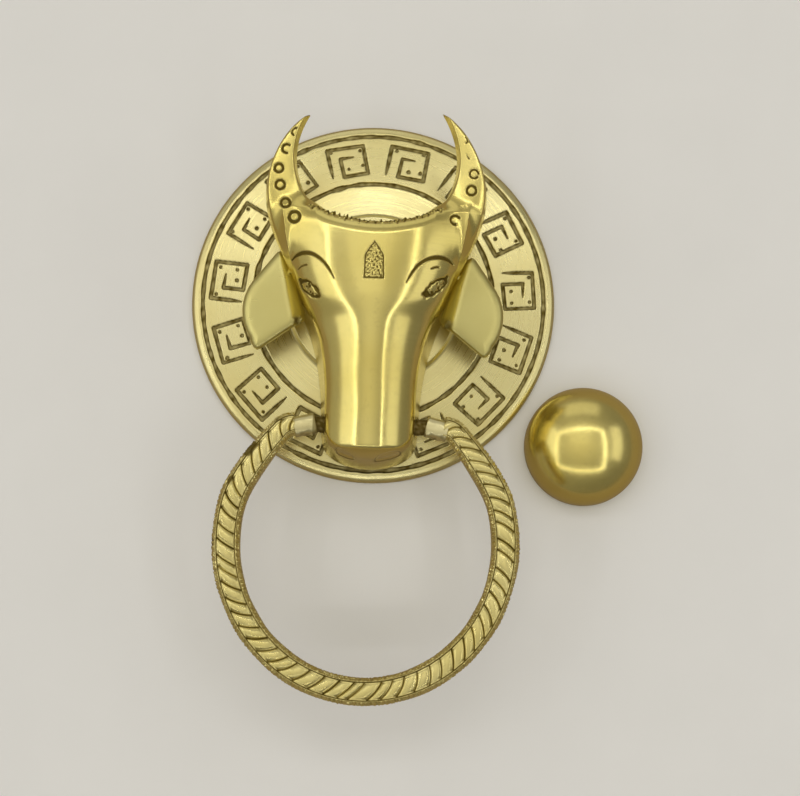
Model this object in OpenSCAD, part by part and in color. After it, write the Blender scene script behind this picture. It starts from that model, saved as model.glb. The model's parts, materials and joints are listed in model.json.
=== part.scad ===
// Door knocker: a hollow cow-head casting on a round engraved backplate, with a swinging ring
// and a separate domed striker. Millimetres.
// Frame: the origin is the centre of the backplate's back face. The door plane is Y = 0,
// -Y leaves the door and +Z is up.

/* [Backplate] */
// Outer diameter of the round backplate
plate_d = 115; // [112:1:120]
// Height of the central boss above the door
boss_h = 7.5; // [7:0.5:8.5]
// Diameter of the central boss that the head stands on
boss_d = 54.4; // [50:0.2:58]
// Thickness of the plate's wall over its hollow back
plate_wall = 2.9; // [2.5:0.1:3.2]
// Width of the two turned grooves
groove_w = 1.2; // [0.8:0.1:1.6]
// Depth of the grooves and of the engraved band
engrave_depth = 0.7; // [0.4:0.1:0.9]

/* [Engraved band] */
// Number of fret motifs round the band
motif_count = 15; // [12:1:15]
// Radius of the circle that the motifs stand on
motif_r = 46; // [45.5:0.1:46.5]
// Size of one motif along the band
motif_w = 13; // [10:0.5:13.5]
// Size of one motif across the band
motif_h = 11; // [9:0.5:11.5]
// Width of the engraved line
line_w = 1.1; // [0.8:0.1:1.3]

/* [Head] */
// Height of the lowest point of the chin
chin_z = -54.2; // [-55:0.1:-53.8]
// Height of the crown at the centre line
crown_z = 17.4; // [17:0.1:18]
// How far the crown rises beside the centre line, towards the horns
crown_dip = 4.6; // [3:0.1:5]
// Radius of the chin's rounded corners, seen from the front
chin_r = 8.5; // [8:0.5:9.5]
// Wall thickness of the casting
head_wall = 3; // [2.5:0.1:3.2]

/* [Horns] */
// Radius of a horn's outer curve
horn_outer_r = 28.6; // [28.4:0.1:28.8]
// Radius of a horn's inner curve
horn_inner_r = 23.8; // [23.6:0.1:24]
// Distance from the door to a horn's flat front
horn_front = 33.5; // [33:0.5:34.5]
// Thickness of a horn at its root
horn_t = 9; // [8:0.5:10]

/* [Ears] */
// Thickness of an ear
ear_t = 3; // [2.5:0.1:3.5]
// Backward tilt of the ears
ear_tilt = 12; // [8:1:16]
// Distance from the door to an ear's front at its root
ear_front = 24; // [23:0.5:25]

/* [Ring] */
// Half the ring's width on the centre line of its bar
ring_a = 42; // [41.5:0.1:42.5]
// Half the ring's height on the centre line of its bar
ring_b = 44.2; // [43.8:0.1:44.6]
// Width of the ring's bar, seen from the front
bar_w = 8.4; // [8:0.1:8.8]
// Thickness of the ring's bar, front to back
bar_t = 8; // [7.6:0.1:8.2]

/* [Pivot] */
// Height of the pivot's axis
pivot_z = -42.4; // [-43:0.1:-42]
// Distance from the door to the pivot's axis
pivot_out = 22; // [21.8:0.1:22.6]
// Diameter of the pivot rod
rod_d = 5; // [4.6:0.1:5.2]
// Radial clearance of the rod in the head's two bores
rod_play = 0.05; // [0.03:0.01:0.08]
// Distance from the centre line to a ferrule's inner face
ferrule_in = 17; // [16.8:0.1:17.4]
// Distance from the centre line to a ferrule's outer face
ferrule_out = 22.6; // [22.4:0.05:22.6]
// Outer diameter of the ferrules
ferrule_d = 7.2; // [6.8:0.1:7.6]

/* [Fasteners] */
// Thread diameter of the screws that hold the head
screw_d = 5; // [4:0.5:5]
// Tapping diameter of the two holes for the door's bolts
door_hole_d = 5; // [4.2:0.1:5.2]
// Distance between the two holes for the door's bolts
door_hole_pitch = 32; // [30:1:34]

/* [Striker] */
// Diameter of the domed striker
striker_d = 37; // [34:0.5:40]
// Height of the domed striker
striker_h = 17.4; // [16:0.1:17.5]
// Sideways place of the striker beside the knocker
striker_x = 67.2; // [64:0.1:70]
// Height of the striker's centre
striker_z = -44.2; // [-50:0.1:-40]

/* [Hidden] */
$fn = 96;

BRASS = [0.80, 0.70, 0.34];
BRASS_PALE = [0.84, 0.80, 0.56];
BRASS_DARK = [0.62, 0.52, 0.26];
STEEL = [0.62, 0.62, 0.62];

// ---------- shared helpers ----------

// Children are drawn as seen from the front: x to the right, y up, z out of the door
module front() { rotate([90, 0, 0]) children(); }

// Index of the row that a value comes after, in a table sorted by its first column
function segment(rows, v, i = 0) =
    i >= len(rows) - 2 || v < rows[i + 1][0] ? i : segment(rows, v, i + 1);

// Change of a table's columns per unit of its first column, at row i
function row_slope(rows, i) =
    let (a = max(i - 1, 0), b = min(i + 1, len(rows) - 1))
    (rows[b] - rows[a]) / (rows[b][0] - rows[a][0]);

// A smooth curve through the rows of a table, read at one value of its first column
function smooth_row(rows, v) =
    let (
        i = segment(rows, v),
        h = rows[i + 1][0] - rows[i][0],
        s = (v - rows[i][0]) / h
    )
    rows[i] * (2 * s * s * s - 3 * s * s + 1)
    + row_slope(rows, i) * h * (s * s * s - 2 * s * s + s)
    + rows[i + 1] * (3 * s * s - 2 * s * s * s)
    + row_slope(rows, i + 1) * h * (s * s * s - s * s);

function clamp(v, low, high) = max(low, min(high, v));

// An arc of a section, given by where its surface turns from one angle to another.
// start is its first point [across, out]; the surface falls away from the front as it turns.
function turn_arc(start, across, a0, a1, steps) =
    let (r = (across - start.x) / (sin(a1) - sin(a0)))
    [for (k = [1:steps]) let (a = a0 + (a1 - a0) * k / steps)
        [start.x + r * (sin(a) - sin(a0)), start.y - r * (cos(a0) - cos(a))]];

// Triangles of a grid of rows x cols points, the first point at index first
function grid_faces(rows, cols, first, flip) = [
    for (i = [0:rows - 2], j = [0:cols - 2])
        let (a = first + i * cols + j, b = a + 1, c = a + cols, d = c + 1)
        for (t = flip ? [[a, b, d], [a, d, c]] : [[a, d, b], [a, c, d]]) t
];

// Triangles that close one row of a grid, in strips that run level from side to side
function row_cap(row, cols, first, flip) = [
    for (j = [0:(cols - 3) / 2])
        let (a = first + row * cols + j, b = a + 1, d = a + cols - 1 - 2 * j, c = d - 1)
        for (t = b == c ? [[a, b, d]] : [[a, b, c], [a, c, d]])
            flip ? [t[0], t[2], t[1]] : t
];

// ---------- backplate ----------

rim_r = plate_d / 2;
boss_r = boss_d / 2;
boss_edge = 0.8;
boss_foot = 0.3;
rim_edge_h = 1.2;
shoulder_r = rim_r - 1.8;
shoulder_h = 2.6;
outer_groove_r = 53.9;
inner_groove_r = 37.7;
band_outer_h = 3.1;
band_inner_h = 5.3;
shelf_h = 6;
back_rim_r = 51;
hollow_side = 2;
hollow_boss_r = boss_r - 3;
groove_side = 0.1;
door_boss_r = 6;
screw_z = [13, -18];
clearance_r = screw_d / 2 + 0.25;
past = 1;

// Height of the plate's front over the door at radius r, from the rim to the boss
function plate_h(r) = lookup(r, [
    [0, boss_h], [boss_r - boss_edge, boss_h],
    [boss_r, shelf_h + boss_foot], [boss_r + boss_foot, shelf_h],
    [inner_groove_r, band_inner_h], [outer_groove_r, band_outer_h],
    [shoulder_r, shoulder_h], [rim_r, rim_edge_h]
]);

module plate_body() {
    stations = [
        0, boss_r - boss_edge, boss_r, boss_r + boss_foot,
        inner_groove_r, outer_groove_r, shoulder_r, rim_r
    ];
    hollow = [0, hollow_boss_r, inner_groove_r, back_rim_r - hollow_side];
    rotate_extrude() polygon(concat(
        [for (r = stations) [r, plate_h(r)]],
        [[rim_r, 0], [back_rim_r, 0]],
        [for (k = [len(hollow) - 1:-1:0]) [hollow[k], plate_h(hollow[k]) - plate_wall]]
    ));
}

// A turned groove with slanted sides
module groove(r) {
    h = plate_h(r);
    rotate_extrude() polygon([
        [r - groove_w / 2 - groove_side, h + past], [r - groove_w / 2, h + groove_side],
        [r - groove_w / 4, h - engrave_depth], [r + groove_w / 4, h - engrave_depth],
        [r + groove_w / 2, h + groove_side], [r + groove_w / 2 + groove_side, h + past]
    ]);
}

// A level or upright engraved line from point a to point b
module stroke(a, b) {
    w = line_w / 2;
    low = [min(a.x, b.x) - w, min(a.y, b.y) - w];
    high = [max(a.x, b.x) + w, max(a.y, b.y) + w];
    translate(low) square(high - low);
}

// Inner turn of a fret and places of its dots, as parts of the motif's size
fret_inner = [0.36, 0.3];
fret_dot_places = [[-0.34, 0.32], [0.34, 0.32], [0.34, -0.22], [0.05, -0.22]];
fret_dot_d = 0.9 * line_w;

// One square-spiral fret, centred on the origin
module fret_outline() {
    x = motif_w / 2 - line_w / 2;
    y = motif_h / 2 - line_w / 2;
    in = [x * fret_inner.x, y * fret_inner.y];
    turns = [[-x, -y], [-x, y], [x, y], [x, -y], [-in.x, -y], [-in.x, in.y], [in.x, in.y]];
    for (k = [0:len(turns) - 2]) stroke(turns[k], turns[k + 1]);
}

module fret_dots() {
    for (p = fret_dot_places)
        translate([p.x * motif_w, p.y * motif_h]) circle(d = fret_dot_d, $fn = 24);
}

first_motif = 0.25;

// The frets are cut square to the sloping band
module engraved_band() {
    slope = atan((band_inner_h - band_outer_h) / (outer_groove_r - inner_groove_r));
    for (k = [0:motif_count - 1])
        rotate((k + first_motif) * 360 / motif_count)
            translate([motif_r, 0, plate_h(motif_r)]) rotate([0, slope, 0]) rotate(-90)
                translate([0, 0, -engrave_depth]) linear_extrude(engrave_depth + 2 * past) {
                    fret_outline();
                    fret_dots();
                }
}

module backplate() {
    color(BRASS) front() difference() {
        union() {
            plate_body();
            for (s = [-1, 1])
                translate([s * door_hole_pitch / 2, 0, 0])
                    cylinder(r = door_boss_r, h = boss_h - plate_wall / 2);
        }
        groove(outer_groove_r);
        groove(inner_groove_r);
        engraved_band();
        for (s = [-1, 1])
            translate([s * door_hole_pitch / 2, 0, -past])
                cylinder(d = door_hole_d, h = boss_h + 2 * past);
        for (z = screw_z) translate([0, z, 0]) cylinder(r = clearance_r, h = boss_h + past);
    }
}

// ---------- head ----------

// Head stations: height, then half-widths where the surface has turned 22 and 45 degrees and
// at the base, then the distance of the centre line from the door
head_rows = [
    [-50, 3.8, 11.6, 14.7, 34.2],
    [-40, 3.8, 11.9, 15.1, 35.8],
    [-30, 3.8, 11.9, 15.8, 37.4],
    [-20, 3.9, 13.0, 17.4, 39.0],
    [-12, 5.0, 15.6, 19.8, 40.2],
    [-5, 9.8, 18.9, 22.8, 41.1],
    [3, 13.4, 21.8, 26.2, 41.5],
    [10, 14.8, 23.4, 28.8, 41.5],
    [18, 15.2, 24.6, 31.0, 41.3]
];
crest_turn = 22;
face_turn = 45;
wall_turn = 80;
wall_share = 0.55;
// Below this height the face slants back to the muzzle's end
muzzle_turn_z = -49.6;
chin_slope = 2;
turn_softness = 0.6;
// Rounded edge of the crown: its height, then its depth
crown_round = [4.5, 5];
// Where the crown's lift beside the centre line starts, and how far out it grows
lift_start_z = 2;
lift_reach = 18;
// Spacing of the sections, as turn along the rounded ends and rows between them
chin_first_turn = 12;
chin_turn_step = 13;
crown_turn_step = 20;
middle_rows = 19;

// How far the chin's rounded corners narrow the head at a height
function chin_scale(z, inset) =
    let (t = (chin_z + chin_r - z) / (chin_r - inset))
    t <= 0 ? 1 : sqrt(max(0, 1 - t * t));

// Distance of the face's centre line from the door: the face, the slanted end of the muzzle
// and the rounded crown
function face_out(z, inset) =
    let (
        dip = chin_slope * turn_softness * ln(1 + exp((muzzle_turn_z + inset - z) / turn_softness)),
        t = clamp((z - crown_z + inset + crown_round.x) / crown_round.x, 0, 1)
    )
    smooth_row(head_rows, z)[4] - inset - dip - crown_round.y * (1 - sqrt(1 - t * t));

// Half of the head's section, from the centre line to the base, as [across, out]
function half_section(z, inset) =
    let (
        row = smooth_row(head_rows, z),
        k = chin_scale(z, inset),
        crest = row[1] * k * (1 - inset / row[2]),
        face = (row[2] - inset) * k,
        base = (row[3] - inset) * k,
        wall = face + (base - face) * wall_share,
        top = [0, face_out(z, inset)],
        a = turn_arc(top, crest, 0, crest_turn, 3),
        b = turn_arc(a[len(a) - 1], face, crest_turn, face_turn, 3),
        c = turn_arc(b[len(b) - 1], wall, face_turn, wall_turn, 3)
    )
    concat([top], a, b, c, [[base, boss_h]]);

// The rows lift beside the centre line towards the crown
function crown_lift(x, z) =
    let (t = clamp((z - lift_start_z) / (crown_z - lift_start_z), 0, 1))
    crown_dip * t * t * pow(min(abs(x) / lift_reach, 1), 2);

// The whole section at one height, from one side of the base over the face to the other
function full_section(z, inset) =
    let (half = half_section(z, inset), n = len(half))
    concat(
        [for (k = [n - 1:-1:1]) [-half[k].x, z + crown_lift(half[k].x, z), half[k].y]],
        [for (p = half) [p.x, z + crown_lift(p.x, z), p.y]]
    );

// Heights of the sections, close together at the chin and at the crown
function head_heights(inset) =
    let (
        chin = chin_z + inset,
        r = chin_r - inset,
        crown = crown_z - inset,
        rise_start = crown - crown_round.x,
        rise_from = chin + r
    )
    concat(
        [for (a = [chin_first_turn:chin_turn_step:90]) chin + r * (1 - cos(a))],
        [for (k = [1:middle_rows]) rise_from + (rise_start - rise_from) * k / middle_rows],
        [for (a = [90 - 3 * crown_turn_step:crown_turn_step:90]) rise_start + crown_round.x * sin(a)]
    );

// The hollow shell, open at the back: an outer and an inner skin joined along the base
module head_shell() {
    outer = [for (z = head_heights(0)) full_section(z, 0)];
    inner = [for (z = head_heights(head_wall)) full_section(z, head_wall)];
    rows = len(outer);
    cols = len(outer[0]);
    start = rows * cols;
    last = rows - 1;
    points = concat([for (s = outer) each s], [for (s = inner) each s]);
    sides = [
        for (i = [0:last - 1]) let (a = i * cols, b = a + cols) each [
            [a, a + start, b], [b, a + start, b + start],
            [a + cols - 1, b + cols - 1, a + cols - 1 + start],
            [b + cols - 1, b + cols - 1 + start, a + cols - 1 + start]
        ]
    ];
    ends = [
        for (e = [[0, false], [last, true]])
            let (a = e[0] * cols, b = a + cols - 1)
            for (t = [[a, b, a + start], [b, b + start, a + start]])
                e[1] ? [t[0], t[2], t[1]] : t
    ];
    polyhedron(points, concat(
        grid_faces(rows, cols, 0, false),
        grid_faces(rows, cols, start, true),
        row_cap(0, cols, 0, false),
        row_cap(last, cols, 0, true),
        row_cap(0, cols, start, true),
        row_cap(last, cols, start, false),
        sides, ends
    ));
}

// ---------- horns, cast with the head ----------

horn_outer_c = [4.8, 28.8];
horn_inner_c = [1.4, 38.9];
horn_root = [11, 9];
horn_reach = [30, 60];
// The horns thin towards their tips from this height up, at this angle
horn_thin_z = 20;
horn_taper = 8;

// The crescent between two circles, flat in front and thinner towards the tip behind
module horn(side) {
    mirror([side < 0 ? 1 : 0, 0, 0]) difference() {
        translate([0, 0, horn_front - horn_t]) linear_extrude(horn_t) difference() {
            intersection() {
                translate(horn_outer_c) circle(r = horn_outer_r, $fn = 128);
                translate(horn_root) square(horn_reach);
            }
            translate(horn_inner_c) circle(r = horn_inner_r, $fn = 128);
        }
        translate([0, horn_thin_z, horn_front - horn_t]) rotate([horn_taper, 0, 0])
            translate([0, 0, -2 * horn_t]) cube([horn_reach.y, horn_reach.y, 2 * horn_t]);
    }
}

// Two screw posts stand inside the shell and end within its wall
post_r = 5;
post_top = [39.6, 36.6];
thread_depth = 12;
bore_reach = 60;

module head_casting() {
    color(BRASS) front() difference() {
        union() {
            head_shell();
            horn(-1);
            horn(1);
            for (k = [0, 1]) translate([0, screw_z[k], boss_h])
                cylinder(r = post_r, h = post_top[k] - boss_h);
        }
        translate([0, pivot_z, pivot_out]) rotate([0, 90, 0])
            cylinder(d = rod_d + 2 * rod_play, h = bore_reach, center = true);
        for (z = screw_z) translate([0, z, boss_h - past])
            cylinder(d = screw_d, h = thread_depth + past);
    }
}

// ---------- ears, brazed to the head's sides ----------

ear_root = [24.5, -7.5];
ear_pitch_left = 0;
ear_pitch_right = -3;
// A right ear's outline, measured from its root: the tang in the head's side, the straight upper
// edge, the round outer edge as an ellipse, and the clipped lower corner
ear_tang_top = [2.4, 17.6];
ear_top = [5.1, 18.8];
ear_round_c = [2.2, 0.3];
ear_round_r = [13.8, 14.4];
ear_round_turn = [38, -37.5];
ear_corner = [[12.9, -9.8], [11.2, -12], [9.6, -11.6]];
ear_tang_bottom = [-5, -1.8];
ear_edge_steps = 9;

function ear_outline() = concat(
    [ear_tang_top, ear_top],
    [for (k = [0:ear_edge_steps])
        let (a = ear_round_turn[0] + (ear_round_turn[1] - ear_round_turn[0]) * k / ear_edge_steps)
        ear_round_c + [ear_round_r.x * cos(a), ear_round_r.y * sin(a)]],
    ear_corner, [ear_tang_bottom]
);

module ear(side, pitch) {
    mirror([side < 0 ? 1 : 0, 0, 0])
        translate([ear_root.x, ear_root.y, ear_front - ear_t]) rotate([0, ear_tilt, 0]) rotate(pitch)
            linear_extrude(ear_t) polygon(ear_outline());
}

module ear_left() { color(BRASS_PALE) front() ear(-1, ear_pitch_left); }
module ear_right() { color(BRASS_PALE) front() ear(1, ear_pitch_right); }

// ---------- fasteners ----------

washer_t = 0.8;
washer_r = 5;
screw_head_r = 4.6;
screw_head_h = 3;
slot_w = 1.2;
slot_depth = 1.2;
screw_seat = boss_h - plate_wall;
thread_engaged = 10;

module head_screws() {
    color(STEEL) front() for (z = screw_z) translate([0, z, screw_seat - washer_t]) {
        translate([0, 0, -screw_head_h]) difference() {
            cylinder(r = screw_head_r, h = screw_head_h);
            translate([-screw_head_r, -slot_w / 2, -past])
                cube([2 * screw_head_r, slot_w, slot_depth + past]);
        }
        cylinder(d = screw_d, h = thread_engaged + plate_wall + washer_t);
    }
}

module head_screw_washers() {
    color(STEEL) front() for (z = screw_z) translate([0, z, screw_seat - washer_t]) difference() {
        cylinder(r = washer_r, h = washer_t);
        translate([0, 0, -past]) cylinder(r = clearance_r, h = washer_t + 2 * past);
    }
}

// ---------- ring ----------

bend_turn = 50;
bend_r = 5.5;
join_turn = 75;
end_taper = 0.82;
taper_steps = 8;
spigot_in = 19.8;
bar_bevel = 1.9;
// Height from the ring's middle up to the pivot's axis
ring_drop = 35.5;
bend_steps = 4;
join_steps = 4;
ellipse_steps = 17;

// The ring's centre line is an ellipse. At each end it leaves the ferrule level, bends down and
// runs into the ellipse on a curve that is tangent to both.
ring_cy = pivot_z - ring_drop;
bend_end = [ferrule_out + bend_r * sin(bend_turn), pivot_z - bend_r * (1 - cos(bend_turn))];

function on_ellipse(a) = [ring_a * sin(a), ring_cy + ring_b * cos(a)];

// Where the tangent of the bend meets the tangent of the ellipse
function join_corner() =
    let (
        p = bend_end,
        d = [cos(bend_turn), -sin(bend_turn)],
        q = on_ellipse(join_turn),
        e = [ring_a * cos(join_turn), -ring_b * sin(join_turn)],
        t = ((q.x - p.x) * e.y - (q.y - p.y) * e.x) / (d.x * e.y - d.y * e.x)
    )
    p + d * t;

// The curve from the bend to the ellipse, tangent to both
function join_point(t) =
    bend_end * (1 - t) * (1 - t) + join_corner() * 2 * t * (1 - t) + on_ellipse(join_turn) * t * t;

function right_path() = concat(
    [for (k = [0:bend_steps - 1]) let (a = bend_turn * k / bend_steps)
        [ferrule_out + bend_r * sin(a), pivot_z - bend_r * (1 - cos(a))]],
    [for (k = [0:join_steps - 1]) join_point(k / join_steps)],
    [for (k = [0:ellipse_steps - 1]) on_ellipse(join_turn + (180 - join_turn) * k / ellipse_steps)]
);

function ring_path() =
    let (right = right_path(), n = len(right))
    concat(right, [[0, ring_cy - ring_b]], [for (k = [n - 1:-1:0]) [-right[k].x, right[k].y]]);

// Direction square to the path and away from the ring's middle; straight up at the two ends
function outward(path, k) =
    let (last = len(path) - 1, d = path[min(k + 1, last)] - path[max(k - 1, 0)])
    k == 0 || k == last ? [0, 1] : [-d.y, d.x] / norm(d);

// The bar narrows towards its two ends
function taper(path, k) =
    let (from_end = min(k, len(path) - 1 - k), t = min(from_end / taper_steps, 1))
    end_taper + (1 - end_taper) * t;

// The bar's section across its width and thickness: flat faces with bevelled edges
function bar_section() =
    let (w = bar_w / 2, t = bar_t / 2, b = bar_bevel)
    [
        [w, -t + b], [w, t - b], [w - b / 2, t - b / 3], [w - b, t],
        [-w + b, t], [-w + b / 2, t - b / 3], [-w, t - b], [-w, -t + b],
        [-w + b, -t], [w - b, -t]
    ];

module ring_bar() {
    path = ring_path();
    section = bar_section();
    n = len(path);
    m = len(section);
    points = [
        for (k = [0:n - 1], s = section)
            let (f = taper(path, k), p = path[k] + outward(path, k) * s.x * f)
            [p.x, p.y, pivot_out + s.y * f]
    ];
    sides = [
        for (k = [0:n - 2], j = [0:m - 1])
            let (a = k * m + j, b = k * m + (j + 1) % m, c = a + m, d = b + m)
            for (t = [[a, d, b], [a, c, d]]) t
    ];
    polyhedron(points, concat(
        sides,
        [[for (j = [0:m - 1]) j]],
        [[for (j = [m - 1:-1:0]) (n - 1) * m + j]]
    ));
}

module ring_handle() {
    color(BRASS_DARK) front() union() {
        ring_bar();
        for (s = [-1, 1])
            translate([s * spigot_in, pivot_z, pivot_out]) rotate([0, s * 90, 0])
                cylinder(d = rod_d, h = ferrule_out - spigot_in + past);
    }
}

module pivot_rod() {
    color(BRASS_DARK) front() translate([-spigot_in, pivot_z, pivot_out]) rotate([0, 90, 0])
        cylinder(d = rod_d, h = 2 * spigot_in);
}

ferrule_edge = 0.6;

// A brazed sleeve that joins one end of the rod to one end of the ring
module ferrule() {
    r = ferrule_d / 2;
    length = ferrule_out - ferrule_in;
    edge = ferrule_edge;
    rotate([0, 90, 0]) rotate_extrude() polygon([
        [rod_d / 2, 0], [r - edge, 0], [r, edge],
        [r, length - edge], [r - edge, length], [rod_d / 2, length]
    ]);
}

module ring_ferrule_left() {
    color(BRASS_PALE) front() translate([-ferrule_out, pivot_z, pivot_out]) ferrule();
}

module ring_ferrule_right() {
    color(BRASS_PALE) front() translate([ferrule_in, pivot_z, pivot_out]) ferrule();
}

// ---------- striker ----------

striker_hole_depth = 10;
// The striker's cap and corner curves, as parts of its radius, and their steps
cap_part = 1.14;
corner_part = 0.62;
dome_steps = 12;

// A spherical cap that rounds over into a short straight skirt
module striker_dome() {
    r = striker_d / 2;
    cap_r = r * cap_part;
    corner_r = r * corner_part;
    cap_turn = asin((r - corner_r) / (cap_r - corner_r));
    corner_h = striker_h - cap_r + (cap_r - corner_r) * cos(cap_turn);
    color(BRASS) front() translate([striker_x, striker_z, 0]) difference() {
        rotate_extrude() polygon(concat(
            [[0, 0], [0, striker_h]],
            [for (k = [1:dome_steps]) let (a = cap_turn * k / dome_steps)
                [cap_r * sin(a), striker_h - cap_r * (1 - cos(a))]],
            [for (k = [1:dome_steps]) let (a = cap_turn + (90 - cap_turn) * k / dome_steps)
                [r - corner_r * (1 - sin(a)), corner_h + corner_r * cos(a)]],
            [[r, 0]]
        ));
        translate([0, 0, -past]) cylinder(d = door_hole_d, h = striker_hole_depth + past);
    }
}

backplate();
head_casting();
ear_left();
ear_right();
head_screws();
head_screw_washers();
pivot_rod();
ring_handle();
ring_ferrule_left();
ring_ferrule_right();
striker_dome();
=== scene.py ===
import json
import math

import bpy
import numpy as np
from mathutils import Matrix, Vector
from mathutils.geometry import delaunay_2d_cdt


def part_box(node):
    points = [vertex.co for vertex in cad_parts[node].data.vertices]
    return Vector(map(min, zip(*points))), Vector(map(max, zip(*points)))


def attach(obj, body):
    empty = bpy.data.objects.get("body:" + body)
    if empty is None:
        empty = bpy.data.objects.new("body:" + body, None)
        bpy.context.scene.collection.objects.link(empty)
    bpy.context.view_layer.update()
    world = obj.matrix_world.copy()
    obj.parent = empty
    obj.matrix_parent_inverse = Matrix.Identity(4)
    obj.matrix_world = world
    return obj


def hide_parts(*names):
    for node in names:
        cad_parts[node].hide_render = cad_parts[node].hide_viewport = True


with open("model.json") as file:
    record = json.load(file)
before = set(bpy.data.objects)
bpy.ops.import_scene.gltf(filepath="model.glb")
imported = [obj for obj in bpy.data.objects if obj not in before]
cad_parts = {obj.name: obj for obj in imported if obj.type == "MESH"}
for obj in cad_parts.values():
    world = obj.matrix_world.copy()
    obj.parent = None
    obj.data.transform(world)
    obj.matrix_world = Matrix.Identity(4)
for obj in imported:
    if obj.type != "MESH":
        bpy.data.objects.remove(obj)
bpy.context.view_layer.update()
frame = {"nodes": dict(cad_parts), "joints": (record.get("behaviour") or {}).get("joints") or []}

# Shapes are worked out in millimetres as seen from the front: x to the right, y up and
# z out of the door. to_row turns them into the row frame, in metres.
MM = 0.001


def to_row(points):
    points = np.asarray(points, float)
    return np.stack([points[:, 0], -points[:, 2], points[:, 1]], 1) * MM


def cad_span(node):
    """Lowest and highest corner of a CAD node in the front view's millimetres."""
    low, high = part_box(node)
    corners = np.array([[low.x, low.z, -high.y], [high.x, high.z, -low.y]]) / MM
    return corners[0], corners[1]


# ---------- sizes ----------

plate_low, plate_high = cad_span("backplate")
RIM_R = (plate_high[0] - plate_low[0]) / 2
BOSS_H = plate_high[2]
BOSS_R = 27.2
SHELF_H = 6.0
INNER_GROOVE_R = 37.7
OUTER_GROOVE_R = 53.9
PLATE_WALL = 2.9
SCREW_Y = (13.0, -18.0)
CLEARANCE_R = 2.75
DOOR_HOLE_X = 16.0
DOOR_HOLE_R = 2.5
DOOR_BOSS_R = 6.0

pivot = np.array(frame["joints"][0]["pos_m"]) / MM
PIVOT_Y = pivot[2]
PIVOT_Z = -pivot[1]
ROD_R = 2.5

ferrule_low, ferrule_high = cad_span("ring_ferrule_right")
FERRULE_IN, FERRULE_OUT = ferrule_low[0], ferrule_high[0]
dome_low, dome_high = cad_span("striker_dome")


# ---------- small numeric helpers ----------


def smoothstep(t):
    t = np.clip(t, 0, 1)
    return t * t * (3 - 2 * t)


def bell(distance, width):
    return np.exp(-((distance / width) ** 2))


def round_both(a, b, radius):
    """Where both solids are, with the edge between them rounded."""
    corner = np.hypot(np.maximum(a + radius, 0), np.maximum(b + radius, 0))
    return np.minimum(np.maximum(a, b), -radius) + corner


def blend_either(a, b, width):
    """Where either solid is, with the corner between them filled."""
    h = np.maximum(width - np.abs(a - b), 0)
    return np.minimum(a, b) - h * h / (4 * width)


class Waves:
    """A smooth random surface: a sum of plane waves with a fixed seed."""

    def __init__(self, seed, length, count=10, axes=3):
        rng = np.random.default_rng(seed)
        direction = rng.normal(size=(count, axes))
        direction /= np.linalg.norm(direction, axis=1)[:, None]
        self.k = direction * (2 * math.pi / (length * rng.uniform(0.7, 1.5, count)))[:, None]
        self.phase = rng.uniform(0, 2 * math.pi, count)
        self.scale = math.sqrt(2 / count)

    def __call__(self, *coords):
        total = 0
        for k, phase in zip(self.k, self.phase):
            total = total + np.sin(sum(a * c for a, c in zip(k, coords)) + phase)
        return total * self.scale


def full_turn(count):
    """Angles evenly round a circle."""
    return np.arange(count) * 2 * math.pi / count


def around(r, turn, *height):
    """Points at radius r and angle turn, at a height where one is given."""
    return np.stack([r * np.cos(turn), r * np.sin(turn), *height], -1)


def run_along(line):
    """How far along a line each of its points is."""
    return np.concatenate([[0], np.cumsum(np.hypot(*np.diff(line, axis=0).T))])


def points_at(places, along, line):
    """The points of a line at some places along it."""
    return np.stack([np.interp(places, along, line[:, k]) for k in (0, 1)], 1)


def gap_to_segment(x, y, a, b):
    """Distance to a straight line between two points, and how far along it the nearest point is."""
    d = b - a
    t = np.clip(((x - a[0]) * d[0] + (y - a[1]) * d[1]) / (d @ d + 1e-12), 0, 1)
    return np.hypot(x - a[0] - t * d[0], y - a[1] - t * d[1]), t


def curve_points(points, steps):
    """A smooth curve through a few points."""
    p = np.asarray(points, float)
    p = np.vstack([2 * p[0] - p[1], p, 2 * p[-1] - p[-2]])
    t = np.linspace(0, 1, steps, endpoint=False)[:, None]
    parts = []
    for a, b, c, d in zip(p, p[1:], p[2:], p[3:]):
        parts.append(
            0.5 * (2 * b + (c - a) * t + (2 * a - 5 * b + 4 * c - d) * t**2
                   + (3 * b - a - 3 * c + d) * t**3)
        )
    return np.vstack([*parts, p[-2:-1]])


def stroke_cut(x, y, line, widths, depth, soft=0.25):
    """Depth of a hand-cut line, with its own half-width at each of its points."""
    cut = np.zeros_like(x)
    reach = max(widths) + soft
    near = (
        (x > line[:, 0].min() - reach) & (x < line[:, 0].max() + reach)
        & (y > line[:, 1].min() - reach) & (y < line[:, 1].max() + reach)
    )
    if not near.any():
        return cut
    px, py = x[near], y[near]
    best = np.full(px.shape, -1e3)
    for a, b, wa, wb in zip(line, line[1:], widths, widths[1:]):
        gap, t = gap_to_segment(px, py, a, b)
        best = np.maximum(best, wa + (wb - wa) * t - gap)
    cut[near] = depth * smoothstep(best / soft + 0.5)
    return cut


# ---------- meshes ----------


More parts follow.
